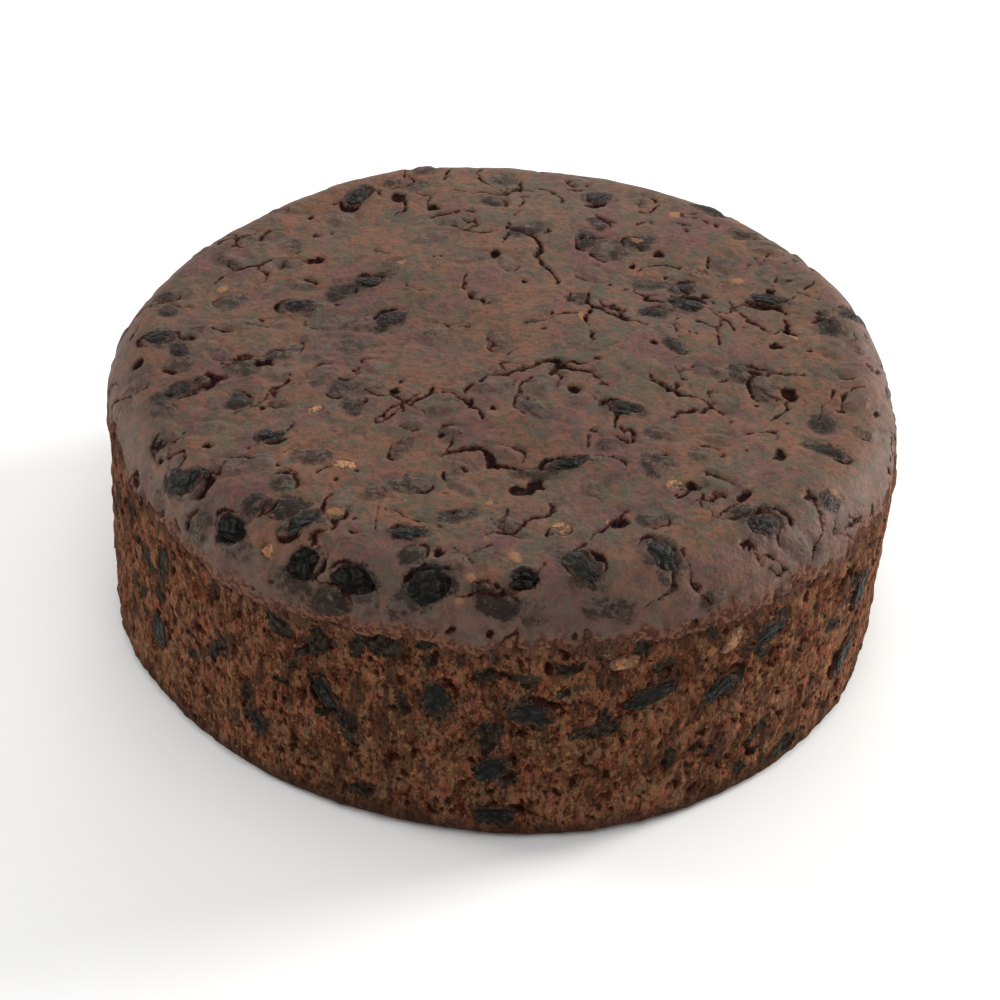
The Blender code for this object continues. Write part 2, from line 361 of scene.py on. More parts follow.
def cloud(points, wavelength, seed, octaves=3):
    """Noise with finer and finer detail, still about -1 to 1."""
    total = sum(noise(points, wavelength / 2**k, seed + 17 * k) / 2**k for k in range(octaves))
    return total / sum(1 / 2**k for k in range(octaves))


def smooth(value, low, high):
    """0 below low, 1 above high, and a smooth rise between."""
    share = np.clip((value - low) / (high - low), 0, 1)
    return share * share * (3 - 2 * share)


# -----------------------------------------------------------------------------
# The cake's own surface


def lobed(bearing, lobes):
    """How far these lobes push the outline out."""
    return sum(depth * np.cos(count * (bearing - math.radians(crest))) for count, depth, crest in lobes)


def swell(x, y):
    """How far the swells lift the top."""
    height = 0
    for wavelength, rise, bearing, phase in TOP_SWELLS:
        along = x * math.cos(math.radians(bearing)) + y * math.sin(math.radians(bearing))
        height = height + rise * np.sin(2 * math.pi * along / wavelength + math.radians(phase))
    return height


class Body:
    """The cake's surface before anything shows in it. A place on it is a distance along its profile, from
    the middle of the top down to the middle of the underside, and a bearing."""

    def __init__(self, sizes):
        self.ring_radius = sizes.ring_radius
        self.ring_height = sizes.ring_height
        self.shoulder_rise = sizes.shoulder_rise
        # Five stretches one after another: crown, shoulder, side, rounded foot and underside.
        crown = sizes.ring_radius - sizes.shoulder_width
        share = np.linspace(0, 1, 200)
        quarter = share * math.pi / 2
        shoulder_top = sizes.ring_height + sizes.shoulder_rise
        foot_middle = sizes.foot_radius - sizes.foot_rounding
        radius = [
            crown * share,
            crown + sizes.shoulder_width * np.sin(quarter),
            sizes.ring_radius + (sizes.foot_radius - sizes.ring_radius) * share,
            foot_middle + sizes.foot_rounding * np.cos(quarter),
            foot_middle * (1 - share),
        ]
        height = [
            shoulder_top + sizes.crown_rise * (1 - share**2),
            sizes.ring_height + sizes.shoulder_rise * np.cos(quarter),
            sizes.ring_height + (sizes.foot_rounding - sizes.ring_height) * share,
            sizes.foot_rounding * (1 - np.sin(quarter)),
            0 * share,
        ]
        radius, height = np.concatenate(radius), np.concatenate(height)
        moves = np.hypot(np.diff(radius), np.diff(height))
        kept = np.concatenate([[True], moves > 0])
        self.radius, self.height = radius[kept], height[kept]
        self.along = np.concatenate([[0], np.cumsum(moves[moves > 0])])
        self.foot_along = self.along_at_height(sizes.foot_rounding)
        self.under_along = self.along[-1] - foot_middle

    def along_at_height(self, height):
        """The distance along the profile at a height on the shoulder or side."""
        return np.interp(-np.asarray(height), -self.height[:-1], self.along[:-1])

    def at(self, along, bearing):
        """The surface's points and outward directions at these places."""
        radius = np.interp(along, self.along, self.radius)
        height = np.interp(along, self.along, self.height)
        reach = 0.5 * MM
        outward = np.interp(along + reach, self.along, self.radius)
        outward = outward - np.interp(along - reach, self.along, self.radius)
        downward = np.interp(along - reach, self.along, self.height)
        downward = downward - np.interp(along + reach, self.along, self.height)
        slope = np.hypot(outward, downward)
        outward, downward = outward / slope, downward / slope
        x, y = radius * np.cos(bearing), radius * np.sin(bearing)
        side_share = np.clip(height / self.ring_height, 0, 1)
        lobe = side_share * lobed(bearing, RING_LOBES) + (1 - side_share) * lobed(bearing, FOOT_LOBES)
        top_share = np.clip((height - self.ring_height) / self.shoulder_rise, 0, 1)
        grow = 1 + lobe / self.ring_radius
        points = np.stack([x * grow, y * grow, height + top_share * swell(x, y)], axis=-1)
        directions = np.stack([downward * np.cos(bearing), downward * np.sin(bearing), outward], axis=-1)
        return points, directions

    def nearest(self, points, start=None):
        """The places on the surface that are nearest to these points, and how far out of it they stand.
        The search starts at one distance along the profile, or else looks all along it first."""
        points = np.atleast_2d(points)
        bearing = np.arctan2(points[:, 1], points[:, 0])
        if start is None:
            rough = np.linspace(0, self.under_along, 240)[:, None] + 0 * bearing
            surface, _ = self.at(rough, bearing + 0 * rough)
            start = rough[np.linalg.norm(points - surface, axis=-1).argmin(axis=0), 0]
        along = start + 0 * bearing
        # Each round walks along the surface to where the point stands straighter out of it.
        for _ in range(6):
            surface, outward = self.at(along, bearing)
            back = np.cross(outward, np.stack([-np.sin(bearing), np.cos(bearing), 0 * bearing], axis=-1))
            along = along - 0.8 * np.einsum("ij,ij->i", points - surface, back)
        surface, outward = self.at(along, bearing)
        return along, bearing, np.einsum("ij,ij->i", points - surface, outward)


# -----------------------------------------------------------------------------
# The surface laid flat, and what is drawn in it


def turned(u, v, along, across, turn):
    """The place this far along and across from another, on axes that are turned."""
    cosine, sine = math.cos(turn), math.sin(turn)
    return u + along * cosine - across * sine, v + along * sine + across * cosine


class Relief:
    """A stretch of the cake's surface laid flat on a fine grid, with what lies in it drawn in layers.

    height is how far the surface stands out. opening is how far inside a crack or pit a point is, and
    below 0 outside. line is how far the nearest crack's middle is. raisin and nut run from 1 at the middle
    of one to 0 at its rim and on below 0. along and across are where the point is on its raisin's long and
    wide axes, and bare is how free of film that raisin is.
    """

    def __init__(self, low, high, points_at, round_u=False):
        step = fineness(GRID_STEP)
        self.low = low
        self.round_u = round_u
        self.counts = [round((high[i] - low[i]) / step) for i in range(2)]
        self.steps = [(high[i] - low[i]) / self.counts[i] for i in range(2)]
        u, v = (low[i] + self.steps[i] * np.arange(self.counts[i]) for i in range(2))
        self.points = points_at(*np.meshgrid(u, v, indexing="ij"))
        self.stray = [
            1.1 * MM * noise(self.points, 5 * MM, seed) + 0.4 * MM * noise(self.points, 1.9 * MM, seed + 1)
            for seed in (71, 81)
        ]
        start = {"height": 0, "line": LINE_REACH, **EMPTY}
        self.layers = {name: np.full(self.counts, float(value)) for name, value in start.items()}

    def around(self, u, v, reach):
        """The part of the grid near a place, and how far its points are from the place. The distances
        stray a little, so that nothing drawn with them comes out regular."""
        spans = []
        for axis, place in enumerate((u, v)):
            first = math.ceil((place - reach - self.low[axis]) / self.steps[axis])
            last = math.floor((place + reach - self.low[axis]) / self.steps[axis])
            spans.append(np.arange(first, last + 1))
        if not self.round_u:
            spans[0] = spans[0][(spans[0] >= 0) & (spans[0] < self.counts[0])]
        spans[1] = spans[1][(spans[1] >= 0) & (spans[1] < self.counts[1])]
        spot = np.ix_(spans[0] % self.counts[0], spans[1])
        from_u = self.low[0] + spans[0][:, None] * self.steps[0] - u + self.stray[0][spot]
        from_v = self.low[1] + spans[1][None, :] * self.steps[1] - v + self.stray[1][spot]
        return spot, from_u, from_v

    def read(self, layer, u, v):
        """A layer's value at any places, between the points of the grid."""
        right = (u - self.low[0]) / self.steps[0]
        up = np.clip((v - self.low[1]) / self.steps[1], 0, self.counts[1] - 1.001)
        if not self.round_u:
            right = np.clip(right, 0, self.counts[0] - 1.001)
        i, j = np.floor(right).astype(int), np.floor(up).astype(int)
        a, b = right - i, up - j
        i, near = i % self.counts[0], (i + 1) % self.counts[0]
        low = (1 - a) * layer[i, j] + a * layer[near, j]
        high = (1 - a) * layer[i, j + 1] + a * layer[near, j + 1]
        return (1 - b) * low + b * high

    def read_all(self, u, v):
        """All that the materials need to know of these places."""
        return {name: self.read(self.layers[name], u, v) for name in EMPTY}

    def crowd(self, u, v):
        """Moves places towards the middles of the cracks nearby, so that a mesh is finest there."""
        line = self.layers["line"]
        lean = [self.read(part, u, v) for part in np.gradient(line, *self.steps)]
        away = self.read(line, u, v)
        pull = 0.6 * away * (1 - away / LINE_REACH) ** 2
        return u - lean[0] * pull, v - lean[1] * pull

    def open_up(self, u, v, width):
        """A small opening, or one bead of a longer one."""
        spot, from_u, from_v = self.around(u, v, width / 2 + LINE_REACH)
        away = np.hypot(from_u, from_v)
        opening, line = self.layers["opening"], self.layers["line"]
        opening[spot] = np.maximum(opening[spot], width / 2 - away)
        if width < 1.5 * MM:
            line[spot] = np.minimum(line[spot], away)

    def crack(self, u, v, heading, run, bend, width, dice, forks=True):
        """An opening that wanders in short straight stretches, thins out to its ends, and forks."""
        step = 0.35 * MM
        count = max(2, int(run / step))
        stray = 0
        for index in range(count):
            share = index / count
            stray *= 0.96
            if dice.random() < 0.16:
                stray = dice.normal(0, math.radians(34))
            direction = heading + bend * share + stray
            u += step * math.cos(direction)
            v += step * math.sin(direction)
            gape = width * (0.35 + 0.65 * math.sin(math.pi * share)) * dice.uniform(0.5, 1.4)
            self.open_up(u, v, gape)
            if forks and dice.random() < 0.014:
                fork = direction + dice.choice((-1, 1)) * dice.uniform(0.7, 1.4)
                rest = 0.5 * run * (1 - share) * dice.uniform(0.3, 1)
                self.crack(u, v, fork, rest, 0, 0.65 * width, dice, forks=False)

    def pit(self, u, v, size, width, turn, dice):
        """A ragged opening made of a few smaller ones."""
        for _ in range(5 + round(size / width * 5)):
            share, off = dice.uniform(-0.5, 0.5), dice.normal(0, 0.22) * width
            bead = width * dice.uniform(0.35, 0.85) * (1 - share**2)
            self.open_up(*turned(u, v, share * (size - 0.6 * width), off, turn), bead)

    def carve(self, depth, fray):
        """Cuts all the openings into the surface, with ragged rims and crumbly bottoms."""
        opening, height = self.layers["opening"], self.layers["height"]
        opening += fray * cloud(self.points, 1.5 * MM, 95, 2)
        inside = smooth(opening, -0.35 * MM, 0.7 * MM)
        height -= depth * inside * (1 + 0.4 * noise(self.points, 1.4 * MM, 97))

    def lay_over(self, u, v, size, width, turn):
        """The grid near an oval, its points along and across it, and their share of the way to its rim."""
        spot, from_u, from_v = self.around(u, v, 1.8 * size / 2)
        along = from_u * math.cos(turn) + from_v * math.sin(turn)
        across = from_v * math.cos(turn) - from_u * math.sin(turn)
        return spot, along, across, np.hypot(along / (size / 2), across / (width / 2))

    def bury(self, kind, u, v, size, width, turn, bare=0):
        """A raisin or nut just under the surface."""
        spot, along, across, out = self.lay_over(u, v, size, width, turn)
        layer = self.layers[kind]
        found = 1 - out > layer[spot]
        layer[spot] = np.where(found, 1 - out, layer[spot])
        if kind == "raisin":
            for name, value in (("along", along), ("across", across), ("bare", bare)):
                self.layers[name][spot] = np.where(found, value, self.layers[name][spot])

    def split_rim(self, u, v, size, width, turn, start, span, gape, dice):
        """A gap along part of a raisin's rim, where the surface came away from it."""
        lean = dice.normal(0, 0.07)
        for share in np.linspace(0, 1, 2 + int(span * size / 2 / (0.4 * MM))):
            off = 0.53 + lean * (share - 0.5)
            angle = start + span * (share - 0.5)
            along, across = off * size * math.cos(angle), off * width * math.sin(angle)
            bead = gape * math.sin(math.pi * share) ** 0.7 * dice.uniform(0.6, 1.1)
            self.open_up(*turned(u, v, along, across, turn), bead)

    def make_room(self, fruit, body, to_flat, dice):
        """Lets a fruit through the surface, which climbs on to it and gapes along part of its rim."""
        u, v = to_flat(fruit.along, fruit.bearing)
        tip_along, tip_bearing, _ = body.nearest(fruit.centre + fruit.long * fruit.half[0])
        tip_u, tip_v = to_flat(tip_along[0], tip_bearing[0])
        if self.round_u:
            half_way = math.pi * body.ring_radius
            tip_u = u + (tip_u - u + half_way) % (2 * half_way) - half_way
        turn = math.atan2(tip_v - v, tip_u - u)
        size, width = 2 * fruit.half[0], 2 * fruit.half[1]
        spot, _, _, out = self.lay_over(u, v, size, width, turn)
        height = self.layers["height"]
        bare = fruit.name in BARE_RAISINS
        kind = "raisin" if "raisin" in fruit.name else "nut"
        way_out = WAY_OUT["bare" if bare else kind]
        height[spot] += 0.3 * MM * np.exp(-(((out - way_out[1]) / 0.3) ** 2))
        height[spot] -= 2 * MM * (1 - smooth(out, *way_out))
        spread, shown = (0.8, 0) if kind == "nut" else (1, 1) if bare else (1.12, 0.5)
        self.bury(kind, u, v, spread * size, spread * width, turn, shown)
        if kind == "raisin":
            gape = dice.uniform(0.9, 2.2) * MM
            self.split_rim(u, v, size, width, turn, dice.uniform(0, 6), dice.uniform(1.2, 2.6), gape, dice)


# -----------------------------------------------------------------------------
# Fruit that has a solid of its own


class Fruit:
    """Where a raisin or nut lies: its middle, its long, wide and outward axes, and its half sizes."""

    def __init__(self, name, body):
        self.name = name
        points = np.array([vertex.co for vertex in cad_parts[name].data.vertices])
        middle = (points.max(0) + points.min(0)) / 2
        self.along, self.bearing = (values[0] for values in body.nearest(middle)[:2])
        _, outward = body.at(self.along, self.bearing)
        flat = points - np.outer(points @ outward, outward)
        _, _, axes = np.linalg.svd(flat - flat.mean(0), full_matrices=False)
        self.long = axes[0]
        self.wide = np.cross(outward, self.long)
        self.outward = outward
        spans = [points @ axis for axis in (self.long, self.wide, self.outward)]
        self.half = np.array([(span.max() - span.min()) / 2 for span in spans])
        centre = [(span.max() + span.min()) / 2 for span in spans]
        self.centre = centre[0] * self.long + centre[1] * self.wide + centre[2] * self.outward

    def place(self, directions):
        """Points of the fruit's own ellipsoid, for directions given along its axes."""
        reach = directions * self.half
        axes = np.stack([self.long, self.wide, self.outward])
        return self.centre + reach @ axes


def fruit_named(start, body):
    """All fruit whose solids' names start so."""
    return [Fruit(name, body) for name in sorted(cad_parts) if name.startswith(start)]


# -----------------------------------------------------------------------------
# Meshes


def grid_faces(rows, columns, closed=False):
    """The four-sided faces of a grid of points, which may close on itself across its columns."""
    index = np.arange(rows * columns).reshape(rows, columns)
    if closed:
        index = np.concatenate([index, index[:, :1]], axis=1)
    corners = [index[:-1, :-1], index[1:, :-1], index[1:, 1:], index[:-1, 1:]]
    return np.stack(corners, axis=-1).reshape(-1, 4)


def fan_faces(loop, tip):
    """Triangles from each side of a closed loop of points to one point."""
    return np.stack([loop, np.roll(loop, -1), np.full(len(loop), tip)], axis=-1)


def band_faces(rows, columns):
    """The faces of a closed band of points, and those from its two ends to the two points after it."""
    loop, count = np.arange(columns), rows * columns
    ends = fan_faces(loop, count), fan_faces((count - columns + loop)[::-1], count + 1)
    return [grid_faces(rows, columns, closed=True), *ends]


def add_object(name, data):
    """A new object in the scene."""
    thing = bpy.data.objects.new(name, data)
    bpy.context.scene.collection.objects.link(thing)
    return thing


def new_piece(name, points, faces, layers=None, corner_uv=None):
    """A smooth mesh object, with its layers as attributes that its material reads."""
    mesh = bpy.data.meshes.new(name)
    mesh.from_pydata(points.tolist(), [], [face for part in faces for face in part.tolist()])
    mesh.shade_smooth()
    for layer, values in (layers or {}).items():
        attribute = mesh.attributes.new(layer, "FLOAT", "POINT")
        attribute.data.foreach_set("value", np.asarray(values, np.float32))
    if corner_uv is not None:
        uv = mesh.uv_layers.new(name="OFBake")
        uv.data.foreach_set("uv", np.asarray(corner_uv, np.float32).ravel())
    return add_object(name, mesh)


def seat(piece, material, slot, *nodes):
    """Gives a piece its material, hangs it under the root, and hides the solids it stands for."""
    piece.data.materials.append(material)
    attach(piece, "root")
    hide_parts(*nodes)


# -----------------------------------------------------------------------------
# Materials


class Varying:
    """A value that varies over a surface. Arithmetic on it adds Math nodes to the material."""

    def __init__(self, finish, socket):
        self.finish = finish
        self.socket = socket

    def math(self, operation, *values):
        """Adds a Math node."""
        return self.finish.node("ShaderNodeMath", {"operation": operation}, dict(enumerate(values)))

    def __add__(self, other):
        return self.math("ADD", self, other)

    def __mul__(self, other):
        return self.math("MULTIPLY", self, other)

    def __sub__(self, other):
        return self.math("SUBTRACT", self, other)

    def __rsub__(self, other):
        return self.math("SUBTRACT", other, self)

    def __truediv__(self, other):
        return self.math("DIVIDE", self, other)

    __radd__ = __add__
    __rmul__ = __mul__


class Finish:
    """A procedural material."""

    def __init__(self, name):
        self.material = bpy.data.materials.new(name)
        self.material.use_nodes = True
        self.nodes = self.material.node_tree.nodes
        self.links = self.material.node_tree.links
        self.shader = self.nodes["Principled BSDF"]
        self.place = self.node("ShaderNodeTexCoord", output="Object")
        self.colour = None

    def feed(self, socket, value):
        """Links or sets a socket."""
        if isinstance(value, Varying):
            self.links.new(value.socket, socket)
        elif socket.type == "RGBA":
            socket.default_value = (*value, 1)
        else:
            socket.default_value = value

    def node(self, kind, settings=None, values=None, output=0):
        """Any node: its settings first, then its sockets, and one of its outputs."""
        node = self.nodes.new(kind)
        for name, value in (settings or {}).items():
            setattr(node, name, value)
        for name, value in (values or {}).items():
            self.feed(node.inputs[name], value)
        return Varying(self, node.outputs[output])

    def set(self, name, value):
        self.feed(self.shader.inputs[name], value)

    def layer(self, name):
        """One of the mesh's layers."""
        return self.node("ShaderNodeAttribute", {"attribute_name": name}, output="Fac")

    def grain(self, wavelength, seed, detail=3, roughness=0.6, place=None):
        """Noise from 0 to 1."""
        values = {"Vector": place or self.place, "W": seed, "Scale": 1 / wavelength}
        values |= {"Detail": detail, "Roughness": roughness}
        return self.node("ShaderNodeTexNoise", {"noise_dimensions": "4D"}, values, output="Fac")

    def upright(self, share):
        """Places squeezed in height, which makes a grain stand upright."""
        values = {0: self.place, 1: (1, 1, share)}
        return self.node("ShaderNodeVectorMath", {"operation": "MULTIPLY"}, values)

    def rise(self, value, low, high):
        """0 where value is below low, 1 where it is above high, and a smooth rise between."""
        values = {"Value": value, "From Min": low, "From Max": high}
        return self.node("ShaderNodeMapRange", {"interpolation_type": "SMOOTHSTEP"}, values)

    def fall(self, value, low, high):
        """1 where value is below low, 0 where it is above high, and a smooth fall between."""
        return 1 - self.rise(value, low, high)

    def mix(self, share, first, second):
        """A colour between two others."""
        values = {"Factor": share, 6: first, 7: second}
        return self.node("ShaderNodeMix", {"data_type": "RGBA"}, values, output=2)

    def blend(self, share, first, second):
        """Starts the surface's colour as one between two others."""
        self.colour = self.mix(share, first, second)

    def lay(self, share, colour):
        """Lays this share of a colour over the surface's colour so far."""
        self.colour = self.mix(share, self.colour, colour)

    def done(self, roughness, relief, depth, gloss):
        """Finishes the surface. Its fine relief, from 0 to 1, stands for this depth."""
        self.set("Base Color", self.colour)
        self.set("Roughness", roughness)
        self.set("Normal", self.node("ShaderNodeBump", values={"Height": relief, "Distance": depth}))
        self.set("Specular IOR Level", gloss)
        return self.material

    def speckled(self, colour, grain):
        """A colour with dark specks of itself."""
        return self.mix(self.rise(grain, 0.4, 0.6), colour, [0.35 * part for part in colour])

    def folds(self, low, high):
        """The dark folds of a shrunken raisin, which run mostly along it."""
        values = {"X": self.layer("along") / (2.6 * MM), "Y": self.layer("across") / (1.5 * MM)}
        place = self.node("ShaderNodeCombineXYZ", values=values)
        values = {0: self.place, "Scale": 1 / (5 * MM)}
        drift = self.node("ShaderNodeVectorMath", {"operation": "SCALE"}, values)
        waves = self.node("ShaderNodeVectorMath", {"operation": "ADD"}, {0: place, 1: drift})
        return self.rise(self.grain(1, 50, detail=2, roughness=0.45, place=waves), low, high)

    def lay_openings(self, fray, rim, bottom, soft):
        """Lays cracks and pits, with a dark red rim and a black bottom, which is partly painted shade in
        their depth. Gives where they are.
        """
        depth = self.layer("opening") + fray
        lip = self.rise(depth, -0.25 * MM - soft, soft)
        deep = self.rise(depth, soft - 0.1 * MM, 0.12 * MM + 2 * soft)
        crumbs = self.rise(self.grain(1.1 * MM, 51, roughness=0.7), 0.45, 0.6)
        crumbly = self.rise(depth, 0.25 * MM, 0.6 * MM) * crumbs
        self.lay(lip * 0.88, rim)
        # Partly painted shade: the bottoms of the openings go black.
        self.lay(deep * (1 - crumbly * 0.45), bottom)
        return lip


def skin_material(look):
    """Baked skin: mottled brown, stained by the fruit, with cracks and pits and what shows through it."""
    finish = Finish("cake_skin")
    broad = finish.grain(24 * MM, 1)
    patch = finish.grain(7 * MM, 2, detail=4)
    mottle = finish.grain(3.2 * MM, 3, detail=4)
    stain = finish.grain(13 * MM, 4, detail=4)
    speck = finish.grain(1.3 * MM, 5, detail=2)
    tint = finish.grain(2.6 * MM, 10, detail=2, roughness=0.55)
    fray = finish.grain(0.7 * MM, 6, roughness=0.7) - 0.5
    dab = finish.grain(4.2 * MM, 9, detail=4, roughness=0.65)
    finish.blend(finish.rise(patch * 0.6 + broad * 0.4, 0.44, 0.56), look.brown, look.dull)
    finish.lay(finish.rise(stain, 0.47, 0.62) * 0.8, look.plum)
    finish.lay(finish.fall(stain, 0.36, 0.46) * 0.6, look.blush)
    finish.lay(finish.rise(dab, 0.54, 0.66) * 0.45, look.pale)
    finish.lay(finish.fall(mottle, 0.34, 0.49) * 0.55, look.shade)
    finish.lay(finish.rise(mottle, 0.6, 0.7) * 0.3, look.blush)
    finish.lay(finish.rise(speck, 0.5, 0.66) * 0.45, look.shade)
    finish.lay(finish.rise(tint, 0.54, 0.62) * 0.45, look.blush)
    finish.lay(finish.fall(tint, 0.38, 0.46) * 0.6, look.moss)

    # Towards the torn edge, where crumb shows in the end.
    edge = finish.layer("edge") + fray * (5 * MM) + (mottle - 0.5) * (9 * MM) + (patch - 0.5) * (8 * MM)
    near = finish.fall(edge, 8 * MM, 24 * MM)
    # Partly painted light: the hem lightens the band by the edge, where the shoulder turns away from the
    # lamps.
    finish.lay(near * 0.25, look.hem)
    finish.lay(near * finish.rise(dab, 0.48, 0.58) * 0.6, look.bruise)
    crumb = finish.mix(finish.rise(speck, 0.44, 0.54) * 0.9, look.torn, look.rust)
    finish.lay(finish.fall(edge, 2 * MM, 5.5 * MM) * 0.9, crumb)

    # Raisins and nuts under the skin, thinly filmed, stained or creased.
    ragged = fray * 0.9 + (mottle - 0.5) * 1.6 + (patch - 0.5) * 0.5
    bare = finish.layer("bare")
    raisin = finish.rise(finish.layer("raisin") + ragged, -0.1, 0.3)
    thin = raisin * finish.rise(finish.grain(3 * MM, 7, detail=4, roughness=0.7) + bare * 0.22, 0.56, 0.64)
    inside = finish.rise(finish.layer("raisin") + ragged * 0.4, 0.05, 0.4)
    fold = inside * finish.folds(0.44, 0.66) * (0.15 + bare * 0.85)
    film = finish.mix(finish.rise(dab, 0.42, 0.56), look.film, look.bruise)
    finish.lay(raisin * (0.35 + bare * 0.45), film)
    finish.lay(thin * (0.35 + bare * 0.6), look.crease)
    finish.lay(fold * 0.75, look.crease)
    nut = finish.rise(finish.layer("nut") + ragged, 0.1, 0.6)
    finish.lay(nut * 0.55, look.amber)

    lip = finish.lay_openings(fray * (1.4 * MM), look.rust, look.pitch, 0.05 * MM)
    roughness = 0.6 + (patch - 0.5) * 0.25 + lip * 0.25 - raisin * 0.1
    relief = speck * 0.4 + mottle * 0.5 + dab * 0.3 - fold * 0.4 - thin * 0.2 - lip * 0.3
    return finish.done(roughness, relief, 0.8 * MM, gloss=0.085)


def crumb_material(look):
    """Rough open crumb: orange grains over dark ones, with pores, painted shade in its furrows and under
    the skin's edge, a burnt foot and the fruit within.
    """
    finish = Finish("cake_crumb")
    upright = finish.upright(0.55)
    broad = finish.grain(17 * MM, 11)
    patch = finish.grain(6 * MM, 12, detail=4, place=upright)
    streak = finish.grain(1.9 * MM, 18, detail=4, roughness=0.65, place=upright)
    grain = finish.grain(0.7 * MM, 13, detail=4, roughness=0.7, place=upright)
    holes = finish.grain(0.9 * MM, 14, roughness=0.65, place=upright)
    fray = finish.grain(0.8 * MM, 15, roughness=0.7) - 0.5
    hue = finish.grain(2.6 * MM, 17, detail=4, place=upright)
    finish.blend(finish.rise(grain * 0.38 + streak * 0.62, 0.39, 0.59), look.brown, look.orange)
    finish.lay(finish.rise(hue, 0.5, 0.62) * 0.55, look.russet)
    finish.lay(finish.fall(hue, 0.38, 0.47) * 0.6, look.olive)
    finish.lay(finish.rise(patch * 0.65 + broad * 0.35, 0.5, 0.57) * 0.75, look.brown)
    finish.lay(finish.fall(streak, 0.36, 0.47) * 0.8, look.rust)
    tint = finish.grain(1.3 * MM, 20)
    finish.lay(finish.rise(tint, 0.54, 0.62) * 0.42, look.red)
    finish.lay(finish.fall(tint, 0.38, 0.46) * 0.55, look.moss)
    finish.lay(finish.rise(finish.grain(1.3 * MM, 16), 0.57, 0.67) * 0.42, look.straw)
    tiny = finish.rise(holes, 0.54, 0.64)
    finish.lay(tiny * 0.5, look.rust)
    # Painted shade: the burnt colour is laid where the crumb's upright furrows sink.
    furrow_shade = finish.grain(4 * MM, 19, detail=4, place=finish.upright(0.35))
    finish.lay(finish.fall(furrow_shade, 0.4, 0.46) * 0.75, look.burnt)

    # Painted shade just under the skin's edge, and burnt at the foot.
    edge = finish.layer("edge") + (patch - 0.5) * (14 * MM) + fray * (4 * MM)
    finish.lay(finish.fall(edge, 0, 4 * MM) * 0.6, look.under_skin_shade)
    foot = finish.layer("foot") + (patch - 0.5) * 0.8
    finish.lay(finish.rise(foot, 0.3, 0.9) * 0.7, look.burnt)

    # Raisins and nuts within, partly covered by grains.
    ragged = fray * 1.3 + (streak - 0.5) * 2.2 + (patch - 0.5) * 0.8
    raisin = finish.rise(finish.layer("raisin") + ragged, 0.0, 0.3)
    raisin = raisin * (1 - finish.rise(grain, 0.56, 0.66) * 0.6)
    finish.lay(raisin * 0.9, look.raisin)
    # Partly painted glints on the raisins within the crumb.
    finish.lay(raisin * finish.rise(tint, 0.5, 0.6) * 0.6, look.peel_and_glint)
    finish.lay(raisin * finish.folds(0.46, 0.58) * 0.8, look.pore)
    nut = finish.rise(finish.layer("nut") + ragged, 0.1, 0.5)
    finish.lay(nut * 0.7, look.amber)

    lip = finish.lay_openings(fray * (1.2 * MM), look.rust, look.pore, 0.12 * MM)
    relief = grain * 0.6 + streak * 0.7 + furrow_shade * 0.6 + patch * 0.3 - tiny * 0.5 - lip * 0.3
    return finish.done(0.85 - raisin * 0.25, relief, 1.4 * MM, gloss=0.03)


def raisin_material(name, look, batter, cover):
    """A raisin's skin. What surrounds it covers it from its rim inwards, more or less far."""
    finish = Finish(name)
    patch = finish.grain(3.5 * MM, 21)
    fine = finish.grain(0.8 * MM, 22)
    fray = finish.grain(1.1 * MM, 23, roughness=0.7) - 0.5
    bare = finish.layer("bare")
    ragged = fray + (patch - 0.5) * 1.6
    ridge = finish.rise(finish.layer("ridge") + ragged * 0.6, 0.3, 1.1)
    # Partly painted sheen: the raised ridges are paler than the folds.
    finish.blend(ridge * (0.75 - bare * 0.45), look.black, look.bloom_and_sheen)
    finish.lay(finish.folds(0.44, 0.58) * 0.8, look.black)
    proud = finish.layer("proud")
    film = finish.fall(proud + ragged * (1.5 * MM), -0.1 * MM, 1.1 * MM)
    finish.lay(film * (0.7 - bare * 0.65), look.film)
    crust = finish.fall(proud + ragged * (1.2 * MM), cover - 0.1 * MM, cover + 0.1 * MM)
    finish.lay(crust * (0.9 - bare * 0.9), finish.speckled(batter, fine))
    roughness = 0.42 + film * 0.2 + crust * 0.25
    return finish.done(roughness, fine * 0.9 + ridge * 0.3 + crust * 0.4, 0.7 * MM, gloss=0.09)


def nut_material(name, look, batter, cover):
    """A nut's flesh, toasted in places, and covered from its rim inwards by what surrounds it."""
    finish = Finish(name)
    patch = finish.grain(1.9 * MM, 31)
    fine = finish.grain(0.7 * MM, 32)
    fray = finish.grain(1.2 * MM, 33, roughness=0.7) - 0.5
    finish.blend(finish.rise(patch, 0.4, 0.62), look.flesh, look.toasted)
    finish.lay(finish.fall(fine, 0.3, 0.5) * 0.45, look.toasted)
    proud = finish.layer("proud") + fray * (3 * MM) + (patch - 0.5) * (3 * MM)
    film = finish.fall(proud, cover, cover + 0.3 * MM)
    finish.lay(film * 0.9, finish.speckled(batter, fine))
    relief = patch * 0.6 + fine * 0.8 + film * 0.4
    return finish.done(0.5 + film * 0.2, relief, 0.6 * MM, gloss=0.3)


# -----------------------------------------------------------------------------
# The top skin


def edge_along(body, edge_height, bearing):
    """How far down the profile the skin reaches at these bearings. Its edge is torn, and slumps in one
    place at the front."""
    round_points = np.stack([np.cos(bearing), np.sin(bearing), 0 * bearing], axis=-1) * body.ring_radius
    height = edge_height + 2.2 * MM * noise(round_points, 45 * MM, 5)
    height = height + 2.4 * MM * cloud(round_points, 9 * MM, 6)
    height = height + 0.9 * MM * noise(round_points, 1.9 * MM, 7)
    away = (bearing - math.radians(SLUMP_BEARING) + math.pi) % (2 * math.pi) - math.pi
    return body.along_at_height(height - SLUMP_DEPTH * np.exp(-((away / SLUMP_SPREAD) ** 2)))


def top_to_flat(along, bearing):
    """A place of the top on its flat plan."""
    return along * math.cos(bearing), along * math.sin(bearing)


